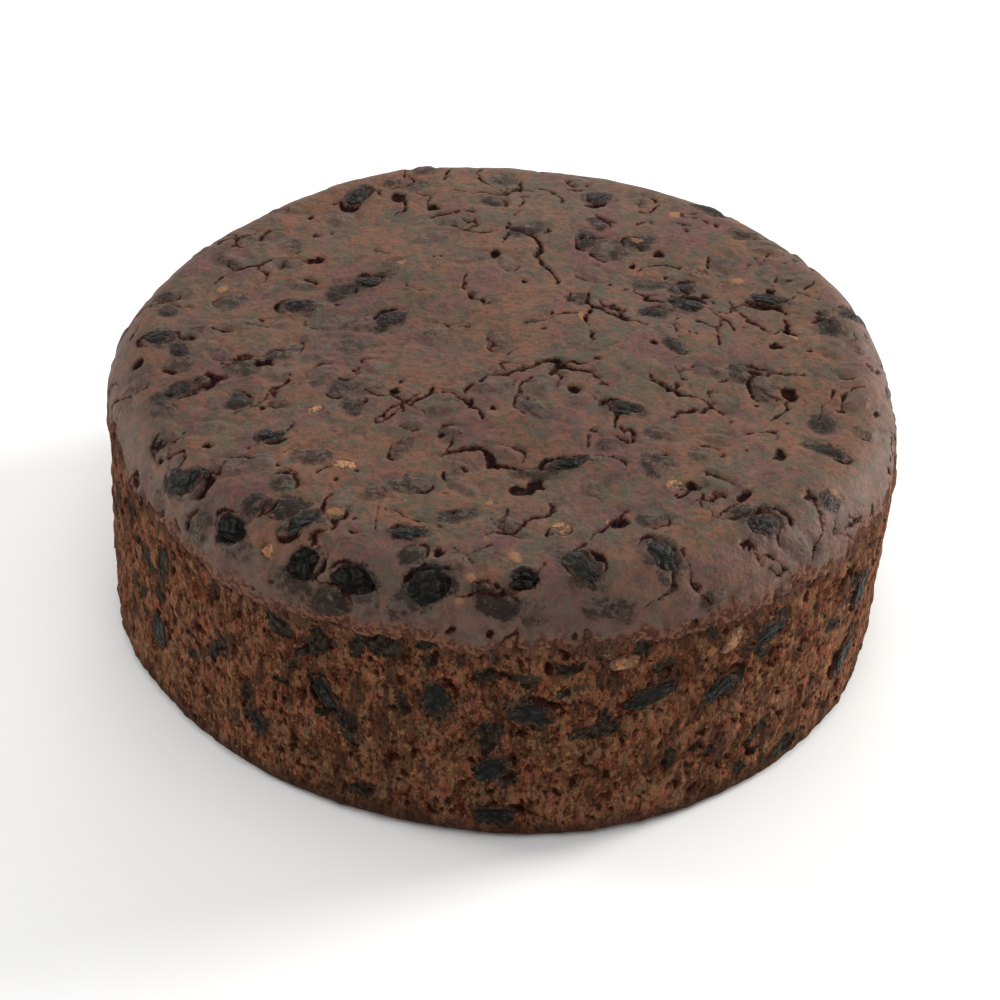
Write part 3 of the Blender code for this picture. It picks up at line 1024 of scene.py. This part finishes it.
def skin_relief(body, look, solid_fruit):
    """What shows in the top: lumps, raisins and nuts under the skin, cracks and pits."""
    dice = np.random.default_rng(SKIN_CHANCE)
    reach = body.along_at_height(SKIN_DRAWN_TO)

    def points_at(u, v):
        return body.at(np.minimum(np.hypot(u, v), reach), np.arctan2(v, u))[0]

    relief = Relief((-reach, -reach), (reach, reach), points_at)
    height = relief.layers["height"]
    lumps = look.lump_height * cloud(relief.points, 24 * MM, 1)
    height += lumps + 0.26 * MM * cloud(relief.points, 5.5 * MM, 2)
    taken = [(*top_to_flat(fruit.along, fruit.bearing), fruit.half[0]) for fruit in solid_fruit]

    def free_place(radius, spread):
        """A place by chance that is clear of all the fruit so far, or None. One side gets more of them."""
        for _ in range(60):
            bearing = dice.uniform(-math.pi, math.pi)
            if dice.random() > 0.72 + 0.28 * math.cos(bearing - math.radians(CROWDED_BEARING)):
                continue
            place = top_to_flat(spread * math.sqrt(dice.random()), bearing)
            if all(math.dist(place, other[:2]) > radius + 0.7 * other[2] for other in taken):
                taken.append((*place, radius))
                return place
        return None

    def bury_raisin(place, size, width, turn, bare):
        relief.bury("raisin", *place, size, width, turn, bare)
        if dice.random() < 0.7:
            start, span, gape = dice.uniform(0, 6), dice.uniform(0.8, 2.4), dice.uniform(0.3, 0.9) * MM
            relief.split_rim(*place, size, width, turn, start, span, gape, dice)

    for bearing, distance, size, width, turn, bare in MAIN_RAISINS_BELOW:
        place = top_to_flat(distance * MM, math.radians(bearing))
        taken.append((*place, size * MM / 2))
        bury_raisin(place, size * MM, width * MM, math.radians(turn), bare)
    for bearing, distance, size, width, turn in MAIN_NUTS_BELOW:
        place = top_to_flat(distance * MM, math.radians(bearing))
        relief.bury("nut", *place, size * MM, width * MM, math.radians(turn))
    for _ in range(look.raisin_count):
        size, width = dice.uniform(6.5, 13.5) * MM, dice.uniform(5, 8.5) * MM
        place = free_place(0.38 * size, reach - 8 * MM)
        if place:
            bury_raisin(place, size, width, dice.uniform(0, math.pi), dice.random() ** 2)
    for _ in range(look.nut_count):
        size, width = dice.uniform(3, 6) * MM, dice.uniform(2.5, 4.5) * MM
        place = free_place(0.5 * size, reach - 12 * MM)
        if place:
            relief.bury("nut", *place, size, width, dice.uniform(0, math.pi))
    raisin, nut = relief.layers["raisin"], relief.layers["nut"]
    height += 0.55 * MM * smooth(raisin, 0, 0.7) - 0.3 * MM * smooth(raisin, -0.4, 0.05)
    height += 0.3 * MM * smooth(raisin, 0, 0.5) * noise(relief.points, 2.6 * MM, 8)
    height += 0.2 * MM * smooth(nut, -0.1, 0.6)
    for u, v, heading, run, bend, width in MAIN_CRACKS:
        relief.crack(u * MM, v * MM, math.radians(heading), run * MM, math.radians(bend), width * MM, dice)
    for u, v, size, width, turn in MAIN_PITS:
        relief.pit(u * MM, v * MM, size * MM, width * MM, math.radians(turn), dice)
    for _ in range(look.crack_count):
        place = top_to_flat((reach - 12 * MM) * math.sqrt(dice.random()), dice.uniform(-math.pi, math.pi))
        heading, bend = dice.uniform(-math.pi, math.pi), dice.normal(0, 0.6)
        run, width = dice.triangular(3, 5, 24) * MM, dice.uniform(0.2, 0.6) * MM
        relief.crack(*place, heading, run, bend, width, dice)
    for _ in range(look.pit_count):
        place = top_to_flat((reach - 8 * MM) * math.sqrt(dice.random()), dice.uniform(-math.pi, math.pi))
        size = MM * min(0.9 + dice.exponential(1.0), 5)
        relief.pit(*place, size, 0.6 * size, dice.uniform(0, math.pi), dice)
    for fruit in solid_fruit:
        relief.make_room(fruit, body, top_to_flat, dice)
    relief.carve(look.crack_depth, 0.4 * MM)
    return relief


def disc_grid(count):
    """A square grid of points laid over a round disc: each point's share of the way out, and bearing."""
    side = np.linspace(-1, 1, count)
    a, b = np.meshgrid(side, side, indexing="ij")
    wide = np.abs(a) > np.abs(b)
    out = np.where(wide, a, b)
    safe = np.where(out == 0, 1, out)
    bearing = np.where(wide, math.pi / 4 * b / safe, math.pi / 2 - math.pi / 4 * a / safe)
    return np.abs(out), bearing + math.pi * (out < 0)


def skin_map(u, v, faces, rim_count):
    """The skin's plan with a little room around it, and in one corner a ring for the closing fan."""
    room, corner, reach = 1.02, 0.965, 0.03
    plan = np.stack([u.ravel(), v.ravel()], axis=-1) / (2 * room * np.hypot(u, v).max()) + 0.5
    turn = 2 * math.pi * np.arange(rim_count + 1) / rim_count
    ring = corner + reach * np.stack([np.cos(turn), np.sin(turn)], axis=-1)
    fan = np.stack([ring[:-1], ring[1:], np.full((rim_count, 2), corner)], axis=1)
    return np.concatenate([plan[faces].reshape(-1, 2), fan.reshape(-1, 2)])


def bake_skin(settings):
    """A fine grid stretched over the top and shoulder to the torn edge, and closed underneath."""
    body, look = Body(settings.body), settings.skin
    relief = skin_relief(body, look, fruit_named("top", body))
    count = fineness(SKIN_COUNT)
    out, bearing = disc_grid(count)
    even = body.along_at_height(look.edge_height)
    edge = edge_along(body, look.edge_height, bearing)
    along = even * out + (edge - even) * smooth(out, 0.82, 1.0)
    u, v = along * np.cos(bearing), along * np.sin(bearing)
    near_u, near_v = relief.crowd(u, v)
    inner = 1 - smooth(out, 0.94, 0.99)
    u, v = u + (near_u - u) * inner, v + (near_v - v) * inner
    along, bearing = np.hypot(u, v), np.arctan2(v, u)
    points, outward = body.at(along, bearing)
    fall = smooth(along, edge - 6 * MM, edge)
    height = relief.read(relief.layers["height"], u, v) + 0.2 * MM * smooth(edge - along, 0, 12 * MM)
    height -= (0.8 * MM + 0.35 * MM * cloud(points, 3 * MM, 9, 2)) * fall
    points = (points + outward * height[..., None]).reshape(-1, 3)
    index = np.arange(count * count).reshape(count, count)
    rim = np.concatenate([index[:-1, 0], index[-1, :-1], index[:0:-1, -1], index[0, :0:-1]])
    inside = [[0, 0, look.edge_height - 6 * MM]]
    faces = [grid_faces(count, count), fan_faces(rim[::-1], len(points))]
    layers = relief.read_all(u, v)
    layers["edge"] = edge - along
    layers = {name: np.append(values, 0) for name, values in layers.items()}
    corner_uv = skin_map(u, v, faces[0], len(rim))
    piece = new_piece("top_skin", np.vstack([points, inside]), faces, layers, corner_uv)
    seat(piece, skin_material(look), "crumb", "cake")


# -----------------------------------------------------------------------------
# The crumb side


def crumb_relief(body, look, solid_fruit, low, high):
    """What shows in the side: grains, pores, and raisins and nuts within the crumb."""
    dice = np.random.default_rng(CRUMB_CHANCE)
    half_way = math.pi * body.ring_radius

    def points_at(u, v):
        return body.at(v, u / body.ring_radius)[0]

    def side_to_flat(along, bearing):
        return bearing * body.ring_radius, along

    def anywhere(below):
        """A place by chance, most often this far below the band's top."""
        return dice.uniform(-half_way, half_way), dice.triangular(low, low + below, body.foot_along)

    relief = Relief((-half_way, low), (half_way, high), points_at, round_u=True)
    height = relief.layers["height"]
    height += 0.45 * MM * cloud(relief.points, 12 * MM, 31, 2)
    height += 0.42 * MM * cloud(relief.points * (1, 1, 0.5), 5.5 * MM, 33, 2)
    height += look.roughness_height * cloud(relief.points * (1, 1, 0.6), 2.4 * MM, 32, 2)
    for bearing, level, size, width, turn, bare in MAIN_RAISINS_WITHIN:
        place = side_to_flat(body.along_at_height(level * MM), math.radians(bearing))
        relief.bury("raisin", *place, size * MM, width * MM, -math.radians(turn), bare)
    for _ in range(look.raisin_count):
        size, width = dice.uniform(3.5, 10) * MM, dice.uniform(2.5, 5.5) * MM
        relief.bury("raisin", *anywhere(14 * MM), size, width, dice.uniform(0, math.pi), dice.random())
    for _ in range(look.nut_count):
        size, width = dice.uniform(2, 5) * MM, dice.uniform(1.5, 3) * MM
        relief.bury("nut", *anywhere(5 * MM), size, width, dice.uniform(0, math.pi))
    raisin, nut = relief.layers["raisin"], relief.layers["nut"]
    height += 0.2 * MM * smooth(raisin, 0, 0.6) - 0.4 * MM * smooth(raisin, -0.5, 0.1)
    height += 0.15 * MM * smooth(nut, 0, 0.6)
    for _ in range(look.pore_count):
        width = MM * min(0.25 + dice.exponential(0.22), 1.6)
        turn = math.pi / 2 + dice.normal(0, 0.4)
        place = dice.uniform(-half_way, half_way), dice.uniform(low, body.foot_along)
        relief.pit(*place, width * dice.uniform(1.2, 3.5), width, turn, dice)
    for fruit in solid_fruit:
        relief.make_room(fruit, body, side_to_flat, dice)
    relief.carve(look.pore_depth, 0.25 * MM)
    return relief


def strip_map(rows, columns, strips, level):
    """Lays a closed band's faces out as strips in a square grid, with a little room between them."""
    per_side = math.isqrt(strips)
    per_strip = columns // strips
    face_column = np.tile(np.arange(columns), rows - 1)
    face_row = np.repeat(np.arange(rows - 1), columns)
    strip = (face_column // per_strip)[:, None]
    x = (face_column[:, None] + np.array([0, 0, 1, 1]) - strip * per_strip) / per_strip
    y = level[face_row[:, None] + np.array([0, 1, 1, 0])]
    room = 0.01
    x = (strip % per_side + room + (1 - 2 * room) * x) / per_side
    y = (strip // per_side + room + (1 - 2 * room) * y) / per_side
    return np.stack([x, y], axis=-1)


def crumb_map(rows, columns, level):
    """Nine strips for the side's band, and slivers at the right edge for its closing fans."""
    strips, filled, outer, inner = 9, 0.97, 0.999, 0.9965
    band = strip_map(rows, columns, strips, filled * level)
    slivers = np.zeros((2 * columns, 3, 2))
    slivers[:, :2, 0] = outer
    slivers[:, 2, 0] = inner
    slivers[:, :, 1] = np.linspace(0, 1, 2 * columns)[:, None]
    slivers[:, 1, 1] += 0.4 / columns
    return np.concatenate([band.reshape(-1, 2), slivers.reshape(-1, 2)])


def bake_crumb(settings):
    """A fine band from under the skin's edge, down the side and round the foot, closed inside."""
    body, look = Body(settings.body), settings.crumb
    top, shown = body.along_at_height(CRUMB_TOP), body.along_at_height(CRUMB_SHOWN)
    hem = body.under_along + CRUMB_HEM
    relief = crumb_relief(body, look, fruit_named("side", body), top, hem)
    columns = fineness(CRUMB_COLUMNS)
    # Coarse rows under the skin, fine ones down the side, and coarse ones in under the foot.
    rows = np.concatenate([
        np.linspace(top, shown, 3)[:-1],
        np.linspace(shown, body.foot_along, fineness(CRUMB_ROWS))[:-1],
        np.linspace(body.foot_along, hem, 8),
    ])
    bearing = np.linspace(-math.pi, math.pi, columns, endpoint=False)
    along, bearing = np.meshgrid(rows, bearing, indexing="ij")
    near_u, near_v = relief.crowd(bearing * body.ring_radius, along)
    inner = smooth(along, shown, shown + 3 * MM)
    inner = inner * (1 - smooth(along, body.foot_along - 3 * MM, body.foot_along))
    u = bearing * body.ring_radius
    u, along = u + (near_u - u) * inner, along + (near_v - along) * inner
    bearing = u / body.ring_radius
    points, outward = body.at(along, bearing)
    # The relief fades out round the foot, and the hidden top edge dips well inside.
    height = relief.read(relief.layers["height"], u, along) - CRUMB_SUNK
    height *= 1 - smooth(along, body.foot_along, body.under_along)
    hidden = 1 - smooth(along, top, shown)
    points = points + outward * (height - 5 * MM * hidden)[..., None]
    points[..., 2] = np.maximum(points[..., 2], 0)
    points = points.reshape(-1, 3)
    inside = [[0, 0, 50 * MM], [0, 0, 4 * MM]]
    layers = relief.read_all(u, along)
    layers["foot"] = smooth(along, body.along_at_height(12 * MM), body.along_at_height(1 * MM))
    layers["edge"] = along - edge_along(body, settings.skin.edge_height, bearing)
    layers = {name: np.append(values, [0, 0]) for name, values in layers.items()}
    corner_uv = crumb_map(len(rows), columns, (rows - top) / (hem - top))
    faces = band_faces(len(rows), columns)
    piece = new_piece("side_crumb", np.vstack([points, inside]), faces, layers, corner_uv)
    seat(piece, crumb_material(look), "crumb", "cake")


# -----------------------------------------------------------------------------
# The underside


def bake_underside(settings):
    """The flat underside, pressed smooth by the tin."""
    body = Body(settings.body)
    start, end = body.under_along + UNDERSIDE_START, body.along[-1]
    rows, columns = 60, 240
    bearing = np.linspace(-math.pi, math.pi, columns, endpoint=False)
    along, bearing = np.meshgrid(np.linspace(start, end - MM, rows), bearing, indexing="ij")
    points, _ = body.at(along, bearing)
    # A shallow hollow, whose rim is turned up inside the crumb.
    sunk = 0.35 * MM * smooth(along, start, start + 6 * MM) + 0.15 * MM
    points[..., 2] = sunk + 0.12 * MM * cloud(points, 9 * MM, 41)
    points[0, :, 2] = 2 * MM
    points = np.vstack([points.reshape(-1, 3), [[0, 0, 3 * MM], [0, 0, 0.5 * MM]]])
    even = {"edge": 60 * MM, **EMPTY}
    layers = {name: np.full(len(points), value) for name, value in even.items()}
    layers["foot"] = np.append(1 - 0.5 * smooth(along, start, start + 30 * MM), [0.5, 0.5])
    piece = new_piece("underside", points, band_faces(rows, columns), layers)
    seat(piece, bpy.data.materials["cake_crumb"], "crumb", "cake")


# -----------------------------------------------------------------------------
# Fruit


def ball(subdivisions):
    """The directions and triangles of an evenly divided ball."""
    form = bmesh.new()
    bmesh.ops.create_icosphere(form, subdivisions=subdivisions, radius=1)
    directions = np.array([vertex.co for vertex in form.verts])
    faces = np.array([[vertex.index for vertex in face.verts] for face in form.faces])
    form.free()
    return directions / np.linalg.norm(directions, axis=1, keepdims=True), faces


def press_in(points, fruit, body, cap, sunk):
    """Presses what stands out of the cake, whose surface is sunk a little, down to a low cap. Also gives
    how far each point stood out."""
    along, bearing, level = body.nearest(points, fruit.along)
    _, outward = body.at(along, bearing)
    proud = level + sunk
    low = np.where(proud > 0, cap * np.tanh(proud / cap), proud)
    return points + outward * (low - proud)[:, None], proud


def raisin_shape(fruit, directions, depth, seed):
    """A raisin: a lumpy ovoid whose skin has shrunk into folds that run mostly along it."""
    blunt = np.sign(directions) * np.abs(directions) ** np.array([0.85, 1, 1])
    lumps = 1 + 0.17 * noise(directions, 0.9, seed) + 0.1 * noise(directions, 0.4, seed + 9)
    local = directions * fruit.half
    local = local + np.stack([noise(local, 3.5 * MM, seed + k) for k in range(3)], axis=-1) * 0.9 * MM
    fold = 1 - smooth(np.abs(noise(local * (0.85, 1, 1), 2.9 * MM, seed + 3)), 0, 0.4)
    fine = 1 - smooth(np.abs(noise(local, 1.3 * MM, seed + 4)), 0, 0.5)
    shrink = depth * (0.75 * fold + 0.35 * fine) / fruit.half.mean()
    points = fruit.place(blunt * (lumps - shrink)[:, None])
    return points, 1 - np.maximum(fold, 0.6 * fine)


def nut_shape(fruit, directions, seed):
    """A chopped nut: a ball cut by a few flat faces, with its edges worn."""
    dice = np.random.default_rng(seed)
    cut_count = 9
    cuts = dice.normal(size=(cut_count, 3))
    cuts /= np.linalg.norm(cuts, axis=1, keepdims=True)
    levels = dice.uniform(0.7, 0.97, cut_count)
    reach = np.minimum((levels / np.maximum(directions @ cuts.T, 0.05)).min(1), 1)
    reach = reach * (1 + 0.12 * noise(directions, 0.5, seed) + 0.1 * noise(directions, 0.22, seed + 5))
    return fruit.place(directions * np.minimum(reach, 1)[:, None])


def join_fruit(name, fruit, shapes, faces, material, slot):
    """One piece of like fruit. Each one's shape is its points and its layers."""
    points, layers = zip(*shapes)
    all_faces = np.vstack([faces + len(points[0]) * index for index in range(len(fruit))])
    joined = {layer: np.concatenate([values[layer] for values in layers]) for layer in layers[0]}
    piece = new_piece(name, np.vstack(points), [all_faces], joined)
    seat(piece, material, slot, *[one.name for one in fruit])


def dry_raisins(settings):
    """The raisins that lie open in the top and the side, each around its own solid."""
    body, look = Body(settings.body), settings.fruit
    directions, faces = ball(fineness(BALL_DIVISIONS))
    for name in ("top_raisin", "side_raisin"):
        top = name == "top_raisin"
        around = (look.batter, 0.35 * MM) if top else (look.crumb, 0.8 * MM)
        material = raisin_material(name + "_skin", look, *around)
        sunk = 0 if top else 0.75 * CRUMB_SUNK
        fruit, shapes = fruit_named(name, body), []
        for index, one in enumerate(fruit):
            bare = 1.0 if one.name in BARE_RAISINS else FILMED_BARENESS[name]
            points, ridge = raisin_shape(one, directions, look.wrinkle_depth, RAISIN_CHANCE + 10 * index)
            cap = look.raisin_cap * (1 + 0.4 * bare) if top else 0.6 * look.raisin_cap
            points, proud = press_in(points, one, body, cap, sunk)
            groove = (0.3 + 0.3 * bare) * look.wrinkle_depth * (1 - ridge) * (proud > 0)
            points -= np.outer(groove, one.outward)
            layers = {"proud": proud, "ridge": ridge, "bare": np.full(len(points), bare)}
            layers["along"] = (points - one.centre) @ one.long
            layers["across"] = (points - one.centre) @ one.wide
            shapes.append((points, layers))
        join_fruit(name + "s", fruit, shapes, faces, material, "raisin")


def chop_nuts(settings):
    """The chopped nuts that lie open in the top and the side, each around its own solid."""
    body, look = Body(settings.body), settings.fruit
    directions, faces = ball(fineness(BALL_DIVISIONS))
    kinds = [
        ("top_nut", look.batter, 0.35 * MM, 0),
        ("side_nut", look.crumb, 0.7 * MM, 0.75 * CRUMB_SUNK),
    ]
    for name, batter, cover, sunk in kinds:
        material = nut_material(name + "_flesh", look, batter, cover)
        fruit, shapes = fruit_named(name, body), []
        for index, one in enumerate(fruit):
            points = nut_shape(one, directions, NUT_CHANCE + index)
            points, proud = press_in(points, one, body, look.nut_cap, sunk)
            shapes.append((points, {"proud": proud}))
        join_fruit(name + "s", fruit, shapes, faces, material, "nut")


# -----------------------------------------------------------------------------
# The stage


def add_light(name, place, width, power, tint):
    """A soft round light."""
    lamp = bpy.data.lights.new(name, "AREA")
    lamp.shape = "DISK"
    lamp.size = width
    lamp.energy = power
    lamp.color = tint
    light = add_object(name, lamp)
    light.location = place
    light.rotation_euler = (Vector(LIGHTS_AIM) - Vector(place)).to_track_quat("-Z", "Y").to_euler()


def set_stage(settings):
    """A plain pale floor, soft lights and the camera."""
    look = settings.stage
    mesh = bpy.data.meshes.new("floor")
    corners = [(-FLOOR_HALF, -FLOOR_HALF, 0), (FLOOR_HALF, -FLOOR_HALF, 0)]
    corners += [(FLOOR_HALF, FLOOR_HALF, 0), (-FLOOR_HALF, FLOOR_HALF, 0)]
    mesh.from_pydata(corners, [], [(0, 1, 2, 3)])
    floor = add_object("floor", mesh)
    finish = Finish("floor_paint")
    worn = [0.985 * part for part in look.floor]
    finish.set("Base Color", finish.mix(finish.grain(0.3, 91), look.floor, worn))
    finish.set("Roughness", 0.7)
    mesh.materials.append(finish.material)

    world = bpy.data.worlds.new("room")
    world.use_nodes = True
    sky = world.node_tree.nodes["Background"]
    sky.inputs["Color"].default_value = (1, 1, 1, 1)
    sky.inputs["Strength"].default_value = ROOM_LIGHT
    scene = bpy.context.scene
    scene.world = world
    scene.view_settings.view_transform = "Standard"
    for light in LIGHTS:
        add_light(*light)

    camera_data = bpy.data.cameras.new("camera")
    camera_data.lens = look.lens
    camera_data.clip_end = 20
    camera = add_object("camera", camera_data)
    aim = Vector((look.aim_offset, 0, look.aim_height))
    back = Vector((0, -math.cos(look.elevation), math.sin(look.elevation)))
    turn = Matrix.Rotation(math.pi / 2 - look.elevation, 4, "X") @ Matrix.Rotation(look.roll, 4, "Z")
    camera.matrix_world = Matrix.Translation(aim + look.distance * back) @ turn
    scene.camera = camera


# -----------------------------------------------------------------------------
# Add-on


class FruitCakeSettings(PropertyGroup):
    body: PointerProperty(type=FruitCakeBody)
    skin: PointerProperty(type=FruitCakeSkin)
    crumb: PointerProperty(type=FruitCakeCrumb)
    fruit: PointerProperty(type=FruitCakeFruit)
    stage: PointerProperty(type=FruitCakeStage)


class FRUITCAKE_OT_skin(Operator):
    """Bakes the cracked skin of the top"""

    bl_idname = "fruitcake.skin"
    bl_label = "Top Skin"

    def execute(self, context):
        bake_skin(context.scene.fruit_cake)
        return {"FINISHED"}


class FRUITCAKE_OT_crumb(Operator):
    """Bakes the rough crumb of the side"""

    bl_idname = "fruitcake.crumb"
    bl_label = "Crumb Side"

    def execute(self, context):
        bake_crumb(context.scene.fruit_cake)
        return {"FINISHED"}


class FRUITCAKE_OT_underside(Operator):
    """Bakes the flat underside"""

    bl_idname = "fruitcake.underside"
    bl_label = "Underside"

    def execute(self, context):
        bake_underside(context.scene.fruit_cake)
        return {"FINISHED"}


class FRUITCAKE_OT_raisins(Operator):
    """Sets raisins in the top and the side"""

    bl_idname = "fruitcake.raisins"
    bl_label = "Raisins"

    def execute(self, context):
        dry_raisins(context.scene.fruit_cake)
        return {"FINISHED"}


class FRUITCAKE_OT_nuts(Operator):
    """Sets chopped nuts in the top and the side"""

    bl_idname = "fruitcake.nuts"
    bl_label = "Nuts"

    def execute(self, context):
        chop_nuts(context.scene.fruit_cake)
        return {"FINISHED"}


class FRUITCAKE_OT_stage(Operator):
    """Sets the floor, the light and the camera"""

    bl_idname = "fruitcake.stage"
    bl_label = "Stage"

    def execute(self, context):
        set_stage(context.scene.fruit_cake)
        return {"FINISHED"}


OPERATORS = (
    FRUITCAKE_OT_skin,
    FRUITCAKE_OT_crumb,
    FRUITCAKE_OT_underside,
    FRUITCAKE_OT_raisins,
    FRUITCAKE_OT_nuts,
    FRUITCAKE_OT_stage,
)


class FRUITCAKE_PT_panel(Panel):
    bl_label = "Fruit Cake"
    bl_idname = "FRUITCAKE_PT_panel"
    bl_space_type = "VIEW_3D"
    bl_region_type = "UI"
    bl_category = "Fruit Cake"

    def draw(self, context):
        for operator in OPERATORS:
            self.layout.operator(operator.bl_idname)
        for part in ("body", "skin", "crumb", "fruit", "stage"):
            group = getattr(context.scene.fruit_cake, part)
            box = self.layout.box()
            for name in group.__annotations__:
                box.prop(group, name)


GROUPS = (FruitCakeBody, FruitCakeSkin, FruitCakeCrumb, FruitCakeFruit, FruitCakeStage, FruitCakeSettings)
CLASSES = (*GROUPS, *OPERATORS, FRUITCAKE_PT_panel)


def register():
    for cls in CLASSES:
        bpy.utils.register_class(cls)
    bpy.types.Scene.fruit_cake = PointerProperty(type=FruitCakeSettings)


def unregister():
    del bpy.types.Scene.fruit_cake
    for cls in reversed(CLASSES):
        bpy.utils.unregister_class(cls)


def main():
    register()
    bpy.ops.fruitcake.skin()
    bpy.ops.fruitcake.crumb()
    bpy.ops.fruitcake.underside()
    bpy.ops.fruitcake.raisins()
    bpy.ops.fruitcake.nuts()
    bpy.ops.fruitcake.stage()


if __name__ == "__main__":
    main()
